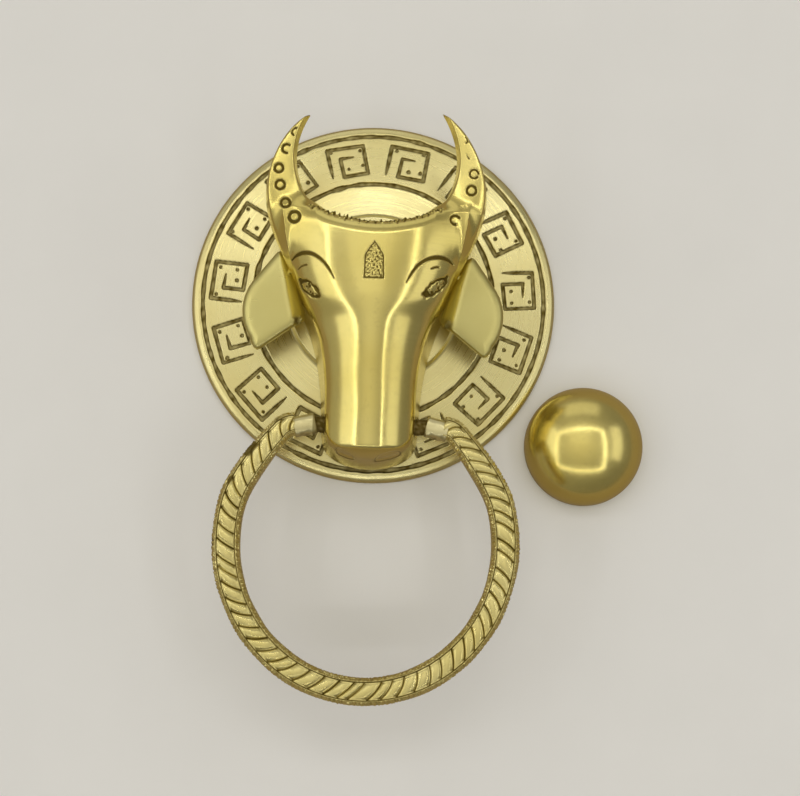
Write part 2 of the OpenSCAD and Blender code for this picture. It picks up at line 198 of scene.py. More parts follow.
def make_piece(name, points, faces, body, material, nodes, patina_and_shade):
    """A smooth mesh of quads and triangles, riding on a CAD body. points are in row metres."""
    mesh = bpy.data.meshes.new(name)
    mesh.vertices.add(len(points))
    mesh.vertices.foreach_set("co", np.asarray(points, np.float32).ravel())
    groups = [np.asarray(f, np.int32) for f in faces if len(f)]
    corners = np.concatenate([g.ravel() for g in groups])
    sizes = np.concatenate([np.full(len(g), g.shape[1]) for g in groups])
    mesh.loops.add(len(corners))
    mesh.loops.foreach_set("vertex_index", corners)
    mesh.polygons.add(len(sizes))
    mesh.polygons.foreach_set("loop_start", np.concatenate([[0], np.cumsum(sizes)[:-1]]))
    mesh.polygons.foreach_set("use_smooth", np.ones(len(sizes), bool))
    mesh.update(calc_edges=True)
    mesh.validate()
    # Per point, how far the brass darkens: patina in cut lines, and painted shade where parts meet or lie
    # in shade.
    attribute = mesh.attributes.new("patina_and_shade", "FLOAT", "POINT")
    attribute.data.foreach_set("value", np.asarray(patina_and_shade, np.float32))
    mesh.materials.append(material)
    obj = bpy.data.objects.new(name, mesh)
    bpy.context.scene.collection.objects.link(obj)
    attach(obj, body)
    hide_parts(*nodes)
    return obj


def ring_quads(rows, cols):
    """Quads of a grid of points, row by row, where each row closes on itself."""
    r, c = np.meshgrid(np.arange(rows - 1), np.arange(cols), indexing="ij")
    r2, c2 = r + 1, (c + 1) % cols
    return np.stack([r * cols + c, r * cols + c2, r2 * cols + c2, r2 * cols + c], -1).reshape(-1, 4)


def surface_net(field, low, high, step):
    """Points and quads of the surface where a field of x, y and z passes through zero."""
    axes = [np.arange(a, b + step, step) for a, b in zip(low, high)]
    f = field(*np.meshgrid(*axes, indexing="ij"))
    inside = f < 0
    nx, ny, nz = (n - 1 for n in f.shape)
    corners = [(i, j, k) for i in (0, 1) for j in (0, 1) for k in (0, 1)]
    count = sum(inside[i:nx + i, j:ny + j, k:nz + k].astype(np.int8) for i, j, k in corners)
    cells = np.argwhere((count > 0) & (count < 8))
    index = np.full(count.shape, -1)
    index[tuple(cells.T)] = np.arange(len(cells))
    total, hits = np.zeros((len(cells), 3)), np.zeros(len(cells))
    for a in corners:
        for axis in range(3):
            if a[axis]:
                continue
            b = tuple(v + (i == axis) for i, v in enumerate(a))
            fa, fb = f[tuple((cells + a).T)], f[tuple((cells + b).T)]
            cross = (fa < 0) != (fb < 0)
            t = fa[cross] / (fa[cross] - fb[cross])
            place = np.array(a, float) + t[:, None] * (np.array(b) - a)
            total[cross] += place
            hits += cross
    points = np.array(low) + step * (cells + total / hits[:, None])
    quads = []
    for axis in range(3):
        e1, e2 = np.eye(3, dtype=int)[(axis + 1) % 3], np.eye(3, dtype=int)[(axis + 2) % 3]
        ahead = np.diff(inside.astype(np.int8), axis=axis)
        for sign in (-1, 1):
            g = np.argwhere(ahead == sign)
            g = g[np.all((g - e1 - e2 >= 0) & (g < [nx, ny, nz]), axis=1)]
            quad = np.stack([index[tuple((g - o).T)] for o in (0 * e1, e1, e1 + e2, e2)], 1)
            quads.append(quad if sign < 0 else quad[:, ::-1])
    return points, np.vstack(quads)


def split_quads(points, quads):
    """Each quad becomes four."""
    edges = np.stack([quads, np.roll(quads, -1, 1)], -1).reshape(-1, 2)
    edges.sort(axis=1)
    key = edges[:, 0].astype(np.int64) * len(points) + edges[:, 1]
    found, first, back = np.unique(key, return_index=True, return_inverse=True)
    middles = points[edges[first]].mean(1)
    centres = points[quads].mean(1)
    mid = back.reshape(-1, 4) + len(points)
    inner = np.arange(len(quads)) + len(points) + len(found)
    parts = [np.stack([quads[:, i], mid[:, i], inner, mid[:, i - 1]], 1) for i in range(4)]
    return np.vstack([points, middles, centres]), np.vstack(parts)


SLOPE_PROBE, SETTLE_PROBE, SETTLE_MOST = 0.05, 0.02, 0.35
FINE_STEP = 0.42


def surface_slope(field, points):
    """Which way the surface of a field faces at each point."""
    steps = SLOPE_PROBE * np.eye(3)
    slope = np.stack([field(*(points + e).T) - field(*(points - e).T) for e in steps], 1)
    return slope / np.linalg.norm(slope, axis=1)[:, None]


def settle(field, points, rounds):
    """Moves points onto the surface where a field is zero."""
    for _ in range(rounds):
        here = field(*points.T)
        ahead = [field(*(points + SETTLE_PROBE * e).T) - here for e in np.eye(3)]
        slope = np.stack(ahead, 1) / SETTLE_PROBE
        size = np.maximum((slope**2).sum(1), 0.05)
        points = points - slope * np.clip(here / size, -SETTLE_MOST, SETTLE_MOST)[:, None]
    return points


def sculpt(field, low, high, step, splits, rounds=4):
    """A dense mesh of quads on a field's surface."""
    points, quads = surface_net(field, low, high, step)
    points = settle(field, points, rounds)
    for _ in range(splits):
        points, quads = split_quads(points, quads)
        points = settle(field, points, rounds)
    return points, quads


# ---------- materials ----------


class Tree:
    """The node tree of a material or a world. A value that is given may be a socket or a constant."""

    def __init__(self, owner):
        owner.use_nodes = True
        self.nodes, self.link = owner.node_tree.nodes, owner.node_tree.links.new

    def put(self, node, values):
        for socket, value in values.items():
            if isinstance(value, bpy.types.NodeSocket):
                self.link(value, node.inputs[socket])
            else:
                node.inputs[socket].default_value = value
        return node

    def add(self, kind, values={}, **settings):
        node = self.nodes.new("ShaderNode" + kind)
        for name, setting in settings.items():
            setattr(node, name, setting)
        return self.put(node, values)

    def object_coords(self):
        return self.add("TexCoord").outputs["Object"]

    def noise(self, coords, scale, detail=4.0, stretch=(1, 1, 1)):
        """Noise in row metres: scale is in features a metre along each axis."""
        spread = self.add("Mapping", {"Vector": coords, "Scale": [scale * s for s in stretch]})
        values = {"Vector": spread.outputs["Vector"], "Scale": 1.0, "Detail": detail}
        return self.add("TexNoise", values).outputs["Fac"]

    def remap(self, value, low, high, to_low, to_high):
        values = {"Value": value, "From Min": low, "From Max": high, "To Min": to_low, "To Max": to_high}
        return self.add("MapRange", values).outputs["Result"]

    def math(self, operation, a, b):
        return self.add("Math", {0: a, 1: b}, operation=operation).outputs["Value"]

    def mix(self, factor, *colors):
        first, second = ((*c, 1) if isinstance(c, tuple) else c for c in colors)
        return self.add("Mix", {"Factor": factor, 6: first, 7: second}, data_type="RGBA").outputs[2]

    def bump(self, height, strength, distance):
        values = {"Height": height, "Strength": strength, "Distance": distance}
        return self.add("Bump", values).outputs["Normal"]


def round_coords(tree, coords, along, out):
    """Coordinates whose noise runs in rings round the plate's axis."""
    x, _, z = tree.add("SeparateXYZ", {"Vector": coords}).outputs
    flat = tree.add("CombineXYZ", {"X": x, "Z": z}).outputs["Vector"]
    length = tree.add("VectorMath", {0: flat}, operation="LENGTH").outputs["Value"]
    values = {axis: tree.math("MULTIPLY", value, stretch)
              for axis, value, stretch in (("X", x, along), ("Z", z, along), ("Y", length, out))}
    return tree.add("CombineXYZ", values).outputs["Vector"]


SPECK, DIRT_AND_SHADE = (0.36, 0.28, 0.10), (0.15, 0.105, 0.014)


def brass(name, color, deep, rough, brushing=(60, 60, 3500), brushed=0.25, tarnish=0.25,
          spots=0.35, turned=False):
    """Brass with soft tonal drift, fine brushing, specks, and dark patina and painted shade where a mesh
    marks it.
    """
    material = bpy.data.materials.new(name)
    tree = Tree(material)
    coords = tree.object_coords()
    drift, fine, speck = tree.noise(coords, 45, 3), tree.noise(coords, 420, 5), tree.noise(coords, 1500, 2)
    if turned:
        hair = tree.noise(round_coords(tree, coords, 90, 2600), 1.0, 3)
    else:
        hair = tree.noise(coords, 1.0, 3, brushing)
    mark = tree.add("Attribute", attribute_name="patina_and_shade").outputs["Fac"]

    tone = tree.mix(tree.remap(drift, 0.3, 0.7, 0, 1), color, deep)
    tone = tree.mix(tree.remap(tree.math("MULTIPLY", speck, fine), 0.3, 0.42, 0, spots), tone, SPECK)
    # Darkens towards a dark brown where the mesh marks it: patina in cuts, and painted shade at feet, gaps
    # and undersides.
    dirt_and_shade = tree.math("MULTIPLY", mark, tree.remap(fine, 0.25, 0.75, 0.9, 1.12))
    dirt_and_shade = tree.remap(dirt_and_shade, 0.1, 0.8, 0, 1)
    gloss = tree.remap(hair, 0.3, 0.7, rough * 0.85, rough * 1.2)
    gloss = tree.math("ADD", gloss, tree.remap(drift, 0.35, 0.7, 0, tarnish * 0.2))
    height = tree.math("ADD", hair, tree.math("MULTIPLY", fine, 0.8))
    tree.put(tree.nodes["Principled BSDF"], {
        "Base Color": tree.mix(dirt_and_shade, tone, DIRT_AND_SHADE),
        "Roughness": tree.math("ADD", gloss, tree.math("MULTIPLY", dirt_and_shade, 0.35)),
        "Metallic": tree.remap(dirt_and_shade, 0, 1, 1, 0.85),
        "Normal": tree.bump(height, brushed, 0.00003),
    })
    return material


def steel(name):
    material = bpy.data.materials.new(name)
    tree = Tree(material)
    coords = tree.object_coords()
    drift = tree.noise(coords, 300, 4)
    tree.put(tree.nodes["Principled BSDF"], {
        "Base Color": tree.mix(drift, (0.66, 0.67, 0.66), (0.50, 0.50, 0.47)),
        "Roughness": tree.remap(drift, 0.2, 0.8, 0.25, 0.5),
        "Metallic": 1.0,
        "Normal": tree.bump(tree.noise(coords, 2500, 3), 0.3, 0.00005),
    })
    return material


GOLD, GOLD_DEEP = (0.81, 0.69, 0.245), (0.75, 0.62, 0.185)
OLIVE, OLIVE_DEEP = (0.63, 0.565, 0.22), (0.58, 0.51, 0.185)
PALE, PALE_DEEP = (0.82, 0.74, 0.37), (0.78, 0.68, 0.30)
DULL, DULL_DEEP = (0.81, 0.71, 0.31), (0.73, 0.62, 0.235)
SILVERY, SILVERY_DEEP = (0.80, 0.73, 0.42), (0.68, 0.60, 0.30)
# The rod's dark brown is its tarnish and painted shade of the gaps it shows through.
ROD_TARNISH_AND_SHADE, ROD_TARNISH_AND_SHADE_DEEP = (0.42, 0.33, 0.15), (0.26, 0.20, 0.08)
plate_brass = brass("plate_brass", PALE, PALE_DEEP, 0.27, brushed=0.1, spots=0.12, turned=True)
head_brass = brass("head_brass", GOLD, GOLD_DEEP, 0.17, (70, 70, 3200), 0.05, spots=0.12)
ear_brass = brass("ear_brass", OLIVE, OLIVE_DEEP, 0.31, (90, 90, 2400), 0.02, spots=0.0)
ring_brass = brass("ring_brass", DULL, DULL_DEEP, 0.26, (300, 300, 300), 0.4, spots=0.22)
ferrule_brass = brass("ferrule_brass", SILVERY, SILVERY_DEEP, 0.32, (140, 140, 2600), 0.25, spots=0.15)
rod_brass = brass("rod_brass", ROD_TARNISH_AND_SHADE, ROD_TARNISH_AND_SHADE_DEEP, 0.42, (900, 150, 150), 0.3, spots=0.1)
dome_brass = brass("dome_brass", GOLD, GOLD_DEEP, 0.21, (900, 900, 900), 0.02, 0.1, 0.1)
zinc_steel = steel("zinc_steel")


# ---------- backplate ----------

SEAM_R = 20.0
BACK_SEAM_R = BOSS_R - 3.0
COLUMNS = 1440
MOTIFS = 15
MOTIF_R = 46.0
MOTIF_W, MOTIF_H, LINE_W = 13.0, 11.0, 1.1
FIRST_MOTIF = 0.25
PLAIN_PATINA = 0.12
GROOVES = ((INNER_GROOVE_R, 0.62, 0.62), (OUTER_GROOVE_R, 0.6, 0.6))
FLOOR_Z = BOSS_H - PLATE_WALL
# Radius and height over the door: the front outwards from the middle, then the back inwards
FRONT_PROFILE = [
    (0, BOSS_H), (BOSS_R - 0.8, BOSS_H), (BOSS_R, 6.3), (BOSS_R + 0.3, SHELF_H),
    (INNER_GROOVE_R, 5.3), (OUTER_GROOVE_R, 3.1), (55.4, 2.85), (56.6, 2.3), (57.2, 1.7), (RIM_R, 0.7),
]
BACK_PROFILE = [
    (RIM_R, 0.0), (RIM_R - 0.3, 0.0), (51.4, 0.0), (51, 0.05), (50.4, 0.3), (49, 0.87), (44, 1.55),
    (38.4, 2.35), (INNER_GROOVE_R, 2.42), (37, 2.55), (30, 3.65), (BACK_SEAM_R + 1, 4.45),
    (BACK_SEAM_R, FLOOR_Z),
]


def plate_height(r):
    """Height of the plate's front over the door, with a rounded rim."""
    fine = np.arange(0, RIM_R + 0.01, 0.05)
    kernel = np.hanning(15)
    padded = np.pad(np.interp(fine, *zip(*FRONT_PROFILE)), 7, mode="edge")
    return np.interp(r, fine, np.convolve(padded, kernel / kernel.sum(), mode="valid"))


def fret_cut(r, turn):
    """Depth of the engraved square-spiral frets and their dots at radius r and angle turn."""
    rng = np.random.default_rng(5)
    pitch = 2 * math.pi / MOTIFS
    cut = np.zeros_like(r)
    x, y = MOTIF_W / 2 - LINE_W / 2, MOTIF_H / 2 - LINE_W / 2
    spiral = np.array([
        [-x, -y], [-x, y], [x, y], [x, -y], [-x * 0.36, -y], [-x * 0.36, y * 0.3], [x * 0.36, y * 0.3]
    ])
    dots = np.array([[-0.34, 0.32], [0.34, 0.32], [0.34, -0.22], [0.05, -0.22]]) * [MOTIF_W, MOTIF_H]
    band = (r > MOTIF_R - 8) & (r < MOTIF_R + 8)
    for k in range(MOTIFS):
        centre = (k + FIRST_MOTIF) * pitch
        off = (turn - centre + math.pi) % (2 * math.pi) - math.pi
        near = band & (np.abs(off) < pitch * 0.6)
        tilt, grow = rng.normal(0, 0.025), rng.normal(1, 0.02)
        across, up = -r[near] * np.sin(off[near]), r[near] * np.cos(off[near]) - MOTIF_R
        u = (across * math.cos(tilt) + up * math.sin(tilt)) / grow
        v = (up * math.cos(tilt) - across * math.sin(tilt)) / grow
        shaky = spiral + rng.normal(0, 0.12, spiral.shape)
        half = np.full(len(spiral), LINE_W / 2) * rng.uniform(0.82, 1.1, len(spiral))
        half[0] *= 0.25
        half[-1] *= 0.3
        line, widths = [], []
        for a, b, wa, wb in zip(shaky, shaky[1:], half, half[1:]):
            steps = np.linspace(0, 1, 5, endpoint=False)
            line.append(a + (b - a) * steps[:, None])
            ease = np.minimum(steps * 3, 1) if wa < wb * 0.5 else steps
            widths.append(wa + (wb - wa) * ease)
        line.append(shaky[-1:])
        widths.append(half[-1:])
        strokes = stroke_cut(u, v, np.vstack(line), np.concatenate(widths), rng.uniform(0.5, 0.66), 0.34)
        for dot in dots + rng.normal(0, 0.3, dots.shape):
            size = rng.uniform(0.42, 0.6)
            gap = np.hypot(u - dot[0], v - dot[1])
            strokes = np.maximum(strokes, 0.55 * smoothstep((size - gap) / 0.3 + 0.5))
        cut[near] = np.maximum(cut[near], strokes)
    return cut


def plate_front(r, turn):
    """Height of the engraved front, and how dark it is: patina in the cuts, and painted shade at the foot
    of the boss.
    """
    x, y = r * np.cos(turn), r * np.sin(turn)
    uneven = Waves(11, 26, axes=2)
    ticks = Waves(12, 1.3, axes=1)
    spread = Waves(13, 7, axes=1)
    cut = fret_cut(r, turn)
    for groove_r, width, deep in GROOVES:
        gap = np.abs(r - groove_r)
        width = width * (1 + 0.1 * spread(turn * groove_r))
        deep = deep * (1 + 0.03 * ticks(turn * groove_r))
        cut = np.maximum(cut, deep * smoothstep((width - gap) / 0.4 + 0.4))
    height = plate_height(r) - cut + 0.03 * uneven(x, y)
    side = bell(cut - 0.22, 0.17) * 0.3
    dark = smoothstep(cut / 0.35) * (0.62 + 0.06 * Waves(14, 3.0, axes=2)(x, y)) + side
    # Painted shade in the corner at the foot of the boss.
    boss_foot_shade = 0.35 * bell(r - BOSS_R - 0.35, 0.35)
    return height, np.clip(dark + boss_foot_shade, 0, 1)


HOLE_SIDES = 48
CIRCLE = around(1.0, full_turn(HOLE_SIDES))


def disc_with_holes(ring, holes, z, up):
    """Points and triangles of a flat disc inside a ring of points, with round holes in it."""
    flat = [ring, *(np.array([cx, cy]) + hr * CIRCLE for cx, cy, hr in holes)]
    edges, start = [], 0
    for loop in flat:
        n = len(loop)
        edges += [(start + i, start + (i + 1) % n) for i in range(n)]
        start += n
    found = delaunay_2d_cdt([Vector(p) for p in np.vstack(flat)], edges, [], 0, 1e-6)
    points = np.array([[p.x, p.y, z] for p in found[0]])
    tris = np.array(found[2])
    middle = points[tris].mean(1)
    keep = np.ones(len(tris), bool)
    for cx, cy, hr in holes:
        keep &= np.hypot(middle[:, 0] - cx, middle[:, 1] - cy) > hr * 0.99
    tris = tris[keep]
    a, b, c = points[tris[:, 0]], points[tris[:, 1]], points[tris[:, 2]]
    turned = np.cross(b - a, c - a)[:, 2] > 0
    tris[turned != up] = tris[turned != up][:, ::-1]
    return points, tris


def backplate():
    front_r = np.concatenate([
        np.linspace(SEAM_R, BOSS_R - 1.4, 14, endpoint=False),
        np.linspace(BOSS_R - 1.4, BOSS_R + 0.8, 16, endpoint=False),
        np.linspace(BOSS_R + 0.8, INNER_GROOVE_R - 1, 26, endpoint=False),
        np.linspace(INNER_GROOVE_R - 1, OUTER_GROOVE_R + 1, 96, endpoint=False),
        np.linspace(OUTER_GROOVE_R + 1, RIM_R, 18),
    ])
    turn = full_turn(COLUMNS)
    rr, tt = np.meshgrid(front_r, turn, indexing="ij")
    height, dark = plate_front(rr, tt)
    back_r, back_z = (np.array(BACK_PROFILE)[:, k, None] + 0 * turn for k in (0, 1))
    rows = np.vstack([around(rr, tt, height), around(back_r, turn + 0 * back_r, back_z)]).reshape(-1, 3)
    quads = ring_quads(len(front_r) + len(BACK_PROFILE), COLUMNS)[:, ::-1]

    points, faces, fills, start = [rows], [quads], [], len(rows)
    screws = [(0, y, CLEARANCE_R) for y in SCREW_Y]
    doors = [(s * DOOR_HOLE_X, 0, DOOR_HOLE_R) for s in (-1, 1)]
    posts = [(x, y, DOOR_BOSS_R) for x, y, r in doors]
    for seam_r, holes, z, up in ((SEAM_R, screws + doors, BOSS_H, True),
                                 (BACK_SEAM_R, screws + posts, FLOOR_Z, False)):
        p, t = disc_with_holes(around(seam_r, turn), holes, z, up)
        points.append(p)
        fills.append(t + start)
        start += len(p)
    walls = [(hole, hole[2], FLOOR_Z, BOSS_H, False) for hole in screws]
    walls += [(hole, hole[2], 0.0, BOSS_H, False) for hole in doors]
    walls += [(post, post[2], 0.0, FLOOR_Z, True) for post in posts]
    walls += [(post, DOOR_HOLE_R, 0.0, 0.0, True) for post in posts]
    for (x, y, r), top_r, z0, z1, outward in walls:
        for radius, z in ((r, z0), (top_r, z1)):
            loop = np.array([x, y]) + radius * CIRCLE
            points.append(np.column_stack([loop, np.full(HOLE_SIDES, z)]))
        q = ring_quads(2, HOLE_SIDES)
        faces.append((q if outward else q[:, ::-1]) + start)
        start += 2 * HOLE_SIDES
    everything = np.vstack(points)
    patina_and_shade = np.concatenate([dark.ravel(), np.full(len(everything) - dark.size, PLAIN_PATINA)])
    return make_piece(
        "backplate_engraved", to_row(everything), [np.vstack(faces), np.vstack(fills)],
        "knocker", plate_brass, ["backplate"], patina_and_shade,
    )


backplate()


# ---------- head with its horns ----------

# Height, half-widths where the surface has turned 22 and 45 degrees and at the base, and the
# distance of the centre line from the door: the same stations as in the CAD
HEAD_ROWS = np.array([
    [-50, 3.8, 11.6, 14.7, 34.2],
    [-40, 3.8, 11.9, 15.1, 35.8],
    [-30, 3.8, 11.9, 15.8, 37.4],
    [-20, 3.9, 13.0, 17.4, 39.0],
    [-12, 5.0, 15.6, 19.8, 40.2],
    [-5, 9.8, 18.9, 22.8, 41.1],
    [3, 13.4, 21.8, 26.2, 41.5],
    [10, 14.8, 23.4, 28.8, 41.5],
    [18, 15.2, 24.6, 31.0, 41.3],
])
SIN_CREST, SIN_FACE, SIN_WALL = (math.sin(math.radians(a)) for a in (22, 45, 80))
COS_CREST, COS_FACE = math.cos(math.radians(22)), math.cos(math.radians(45))
WALL_SHARE = 0.55
CHIN_Y, CHIN_R = -54.2, 8.5
MUZZLE_TURN_Y, CHIN_SLOPE, TURN_SOFTNESS = -50.5, 2.0, 0.3
CROWN_Y, CROWN_DIP, LIFT_START, LIFT_REACH = 17.4, 4.6, 2.0, 18.0
CROWN_ROUND, CROWN_BEYOND = 6.0, 1.4
HORN_OUTER, HORN_OUTER_R = (4.8, 28.8), 28.2
HORN_INNER, HORN_INNER_R = (1.4, 38.9), 24.1
HORN_FRONT, HORN_T, HORN_THIN_Y, HORN_THIN = 33.5, 9.0, 20.0, math.tan(math.radians(8))
HORN_DRAFT = math.tan(math.radians(7))
HORN_INNER_DRAFT = math.tan(math.radians(8))
HORN_ROOT_X, HORN_ROOT_Y = 9.0, 5.0
HORN_FALL, HORN_FALL_Y = 0.3, 22.0
TIP_START, TIP_LENGTH, RIGHT_TIP_IN, RIGHT_TIP_UP = 22, 33, 1.5, 1.6
BORE_R = 2.75


def smooth_rows():
    """The station table on a fine scale of heights, along a smooth curve."""
    heights = np.arange(-62, 32, 0.05)
    at = HEAD_ROWS[:, 0]
    slopes = np.vstack([
        (HEAD_ROWS[1] - HEAD_ROWS[0]) / (at[1] - at[0]),
        (HEAD_ROWS[2:] - HEAD_ROWS[:-2]) / (at[2:] - at[:-2])[:, None],
        (HEAD_ROWS[-1] - HEAD_ROWS[-2]) / (at[-1] - at[-2]),
    ])
    i = np.clip(np.searchsorted(at, heights, side="right") - 1, 0, len(at) - 2)
    h = (at[i + 1] - at[i])[:, None]
    s = np.clip((heights - at[i])[:, None] / h, -0.4, 1.3)
    table = (
        HEAD_ROWS[i] * (2 * s**3 - 3 * s**2 + 1) + slopes[i] * h * (s**3 - 2 * s**2 + s)
        + HEAD_ROWS[i + 1] * (3 * s**2 - 2 * s**3) + slopes[i + 1] * h * (s**3 - s**2)
    )
    return heights, table


ROW_HEIGHTS, ROW_TABLE = smooth_rows()
face_waves = Waves(21, 19)


def crown_lift(across, y):
    t = np.clip((y - LIFT_START) / (CROWN_Y - LIFT_START), 0, 1)
    return CROWN_DIP * t * t * np.minimum(across / LIFT_REACH, 1) ** 2


def head_field(x, y, z):
    """Negative inside the head: a section that turns from the face into the flaring walls."""
    across = np.abs(x)
    row_y = y
    for _ in range(4):
        row_y = y - crown_lift(across, row_y)
    crest, face, base, top = (np.interp(row_y, ROW_HEIGHTS, ROW_TABLE[:, k]) for k in (1, 2, 3, 4))
    side = face + (base - face) * WALL_SHARE
    r1 = crest / SIN_CREST
    r2 = (face - crest) / (SIN_FACE - SIN_CREST)
    r3 = (side - face) / (SIN_WALL - SIN_FACE)
    s1 = np.clip(across / r1, 0, SIN_CREST)
    s2 = np.clip(SIN_CREST + (across - crest) / r2, SIN_CREST, SIN_FACE)
    s3 = np.clip(SIN_FACE + (across - face) / r3, SIN_FACE, SIN_WALL)
    turn = (MUZZLE_TURN_Y + 0.006 * x * x - row_y) / TURN_SOFTNESS
    dip = CHIN_SLOPE * TURN_SOFTNESS * np.logaddexp(0, turn)
    falling = CHIN_SLOPE / (1 + np.exp(-np.clip(turn, -40, 40)))
    drop = r1 * (1 - np.sqrt(1 - s1 * s1)) + r2 * (COS_CREST - np.sqrt(1 - s2 * s2))
    drop = drop + r3 * (COS_FACE - np.sqrt(1 - s3 * s3))
    drop_side = (
        r1 * (1 - COS_CREST) + r2 * (COS_CREST - COS_FACE)
        + r3 * (COS_FACE - math.sqrt(1 - SIN_WALL**2))
    )
    side_z = np.maximum(top - dip - drop_side, BOSS_H + 4)
    steep = (side_z - BOSS_H) / (base - side)
    sine = np.where(across < crest, s1, np.where(across < face, s2, s3))
    beyond = np.maximum(across - side, 0)
    tangent = np.where(beyond > 0, steep, sine / np.sqrt(1 - sine * sine))
    surface = top - dip - drop - steep * beyond
    front = (z - surface) / np.sqrt(1 + tangent**2 + falling**2)

    stretch = base / CHIN_R
    below = np.maximum(CHIN_Y + CHIN_R - y, 0)
    reach = np.hypot(across, stretch * below)
    width = side + (base - side) * (side_z - z) / (side_z - BOSS_H)
    pull = np.hypot(across, stretch**2 * below) / np.maximum(reach, 1)
    chin = (reach - width) / np.maximum(pull, 1)
    chin_round = 1.6 * smoothstep((CHIN_Y + CHIN_R + 2 - y) / 5)
    f = round_both(front, chin, chin_round)

    crown = y - CROWN_Y - crown_lift(across, np.full_like(y, CROWN_Y))
    f = round_both(f, crown - CROWN_BEYOND, CROWN_ROUND)
    return round_both(f, crown, 0.3)


def horn_field(x, y, z):
    """Negative inside the two horns: crescents with drafted sides and gently rounded faces."""
    rise = np.where(x > 0, np.clip((y - TIP_START) / TIP_LENGTH, 0, 1.2), 0) ** 2
    across, y = np.abs(x) + RIGHT_TIP_IN * rise, y - RIGHT_TIP_UP * rise
    back_by = HORN_FRONT - z
    outer = np.hypot(across - HORN_OUTER[0], y - HORN_OUTER[1]) - HORN_OUTER_R - HORN_DRAFT * back_by
    inner = HORN_INNER_R - HORN_INNER_DRAFT * back_by
    inner = inner - np.hypot(across - HORN_INNER[0], y - HORN_INNER[1])
    middle = (outer - inner) / 2
    front = z - HORN_FRONT + HORN_FALL * np.maximum(HORN_FALL_Y - y, 0) + 0.04 * middle**2
    back = HORN_FRONT - HORN_T + HORN_THIN * np.maximum(y - HORN_THIN_Y, 0) - z
    f = round_both(outer, inner, 0.35)
    f = round_both(f, front, 0.55)
    f = round_both(f, back, 0.8)
    return np.maximum(f, np.maximum(HORN_ROOT_X - across, HORN_ROOT_Y - y))


LEFT_BROW = [
    (-25.2, 6.3), (-23.6, 7.4), (-21.4, 7.8), (-18.8, 7.2), (-16.1, 5.3), (-13.8, 2.6), (-11.9, -0.6)
]
RIGHT_BROW = [
    (23.9, 6.2), (22.3, 7.1), (19.6, 7.4), (16.2, 6.4), (13.3, 4.3), (11.4, 1.7), (9.8, -1.3)
]
BROW_HALF = [0.2, 0.5, 0.56, 0.46, 0.42, 0.36, 0.12]
LIDS = [[(-23.3, 3.1), (-21.9, 4.0), (-20.2, 4.1)], [(17.1, 3.6), (18.4, 4.2), (19.7, 4.5)]]
EYES = [((-19.5, -2.8), -41, 4.2, 1.5), ((18.9, -1.4), 43, 4.5, 1.5)]
PUNCHES = [
    (-25.1, 45.7, 1.2, 0.22, 70, 250), (-27.7, 40.4, 1.35, 0.28, 40, 290),
    (-29.9, 34.3, 1.3, 0.32, 0, 360), (-29.3, 29.1, 1.4, 0.32, 0, 360),
    (-27.5, 23.4, 1.45, 0.36, 0, 360), (-24.6, 18.9, 1.6, 0.42, 0, 360),
    (26.2, 44.9, 1.1, 0.14, -70, 70), (29.5, 34.3, 1.35, 0.2, 0, 330),
    (28.8, 29.1, 1.45, 0.3, 0, 360), (24.1, 19.4, 1.4, 0.3, 20, 290),
]
NOSTRILS = [((-6.9, -52.0), -28, 3.3, 0.8, 0.7), ((5.6, -52.2), 18, 4.3, 0.85, 0.5)]
MARK_X, MARK_LOW, MARK_HIGH, MARK_HALF = -0.05, -0.5, 10.4, 2.85
grain = Waves(31, 0.9, count=16, axes=2)
coarse = Waves(32, 2.4, count=10, axes=2)


def oval_cut(x, y, centre, tilt, long, short, depth, soft):
    """An oval dent at a slant, and how far inside it each point is."""
    c, s = math.cos(math.radians(tilt)), math.sin(math.radians(tilt))
    u, v = (x - centre[0]) * c + (y - centre[1]) * s, (y - centre[1]) * c - (x - centre[0]) * s
    inside = (1 - np.hypot(u / long, v / short)) * short
    return depth * smoothstep(inside / soft + 0.3), inside


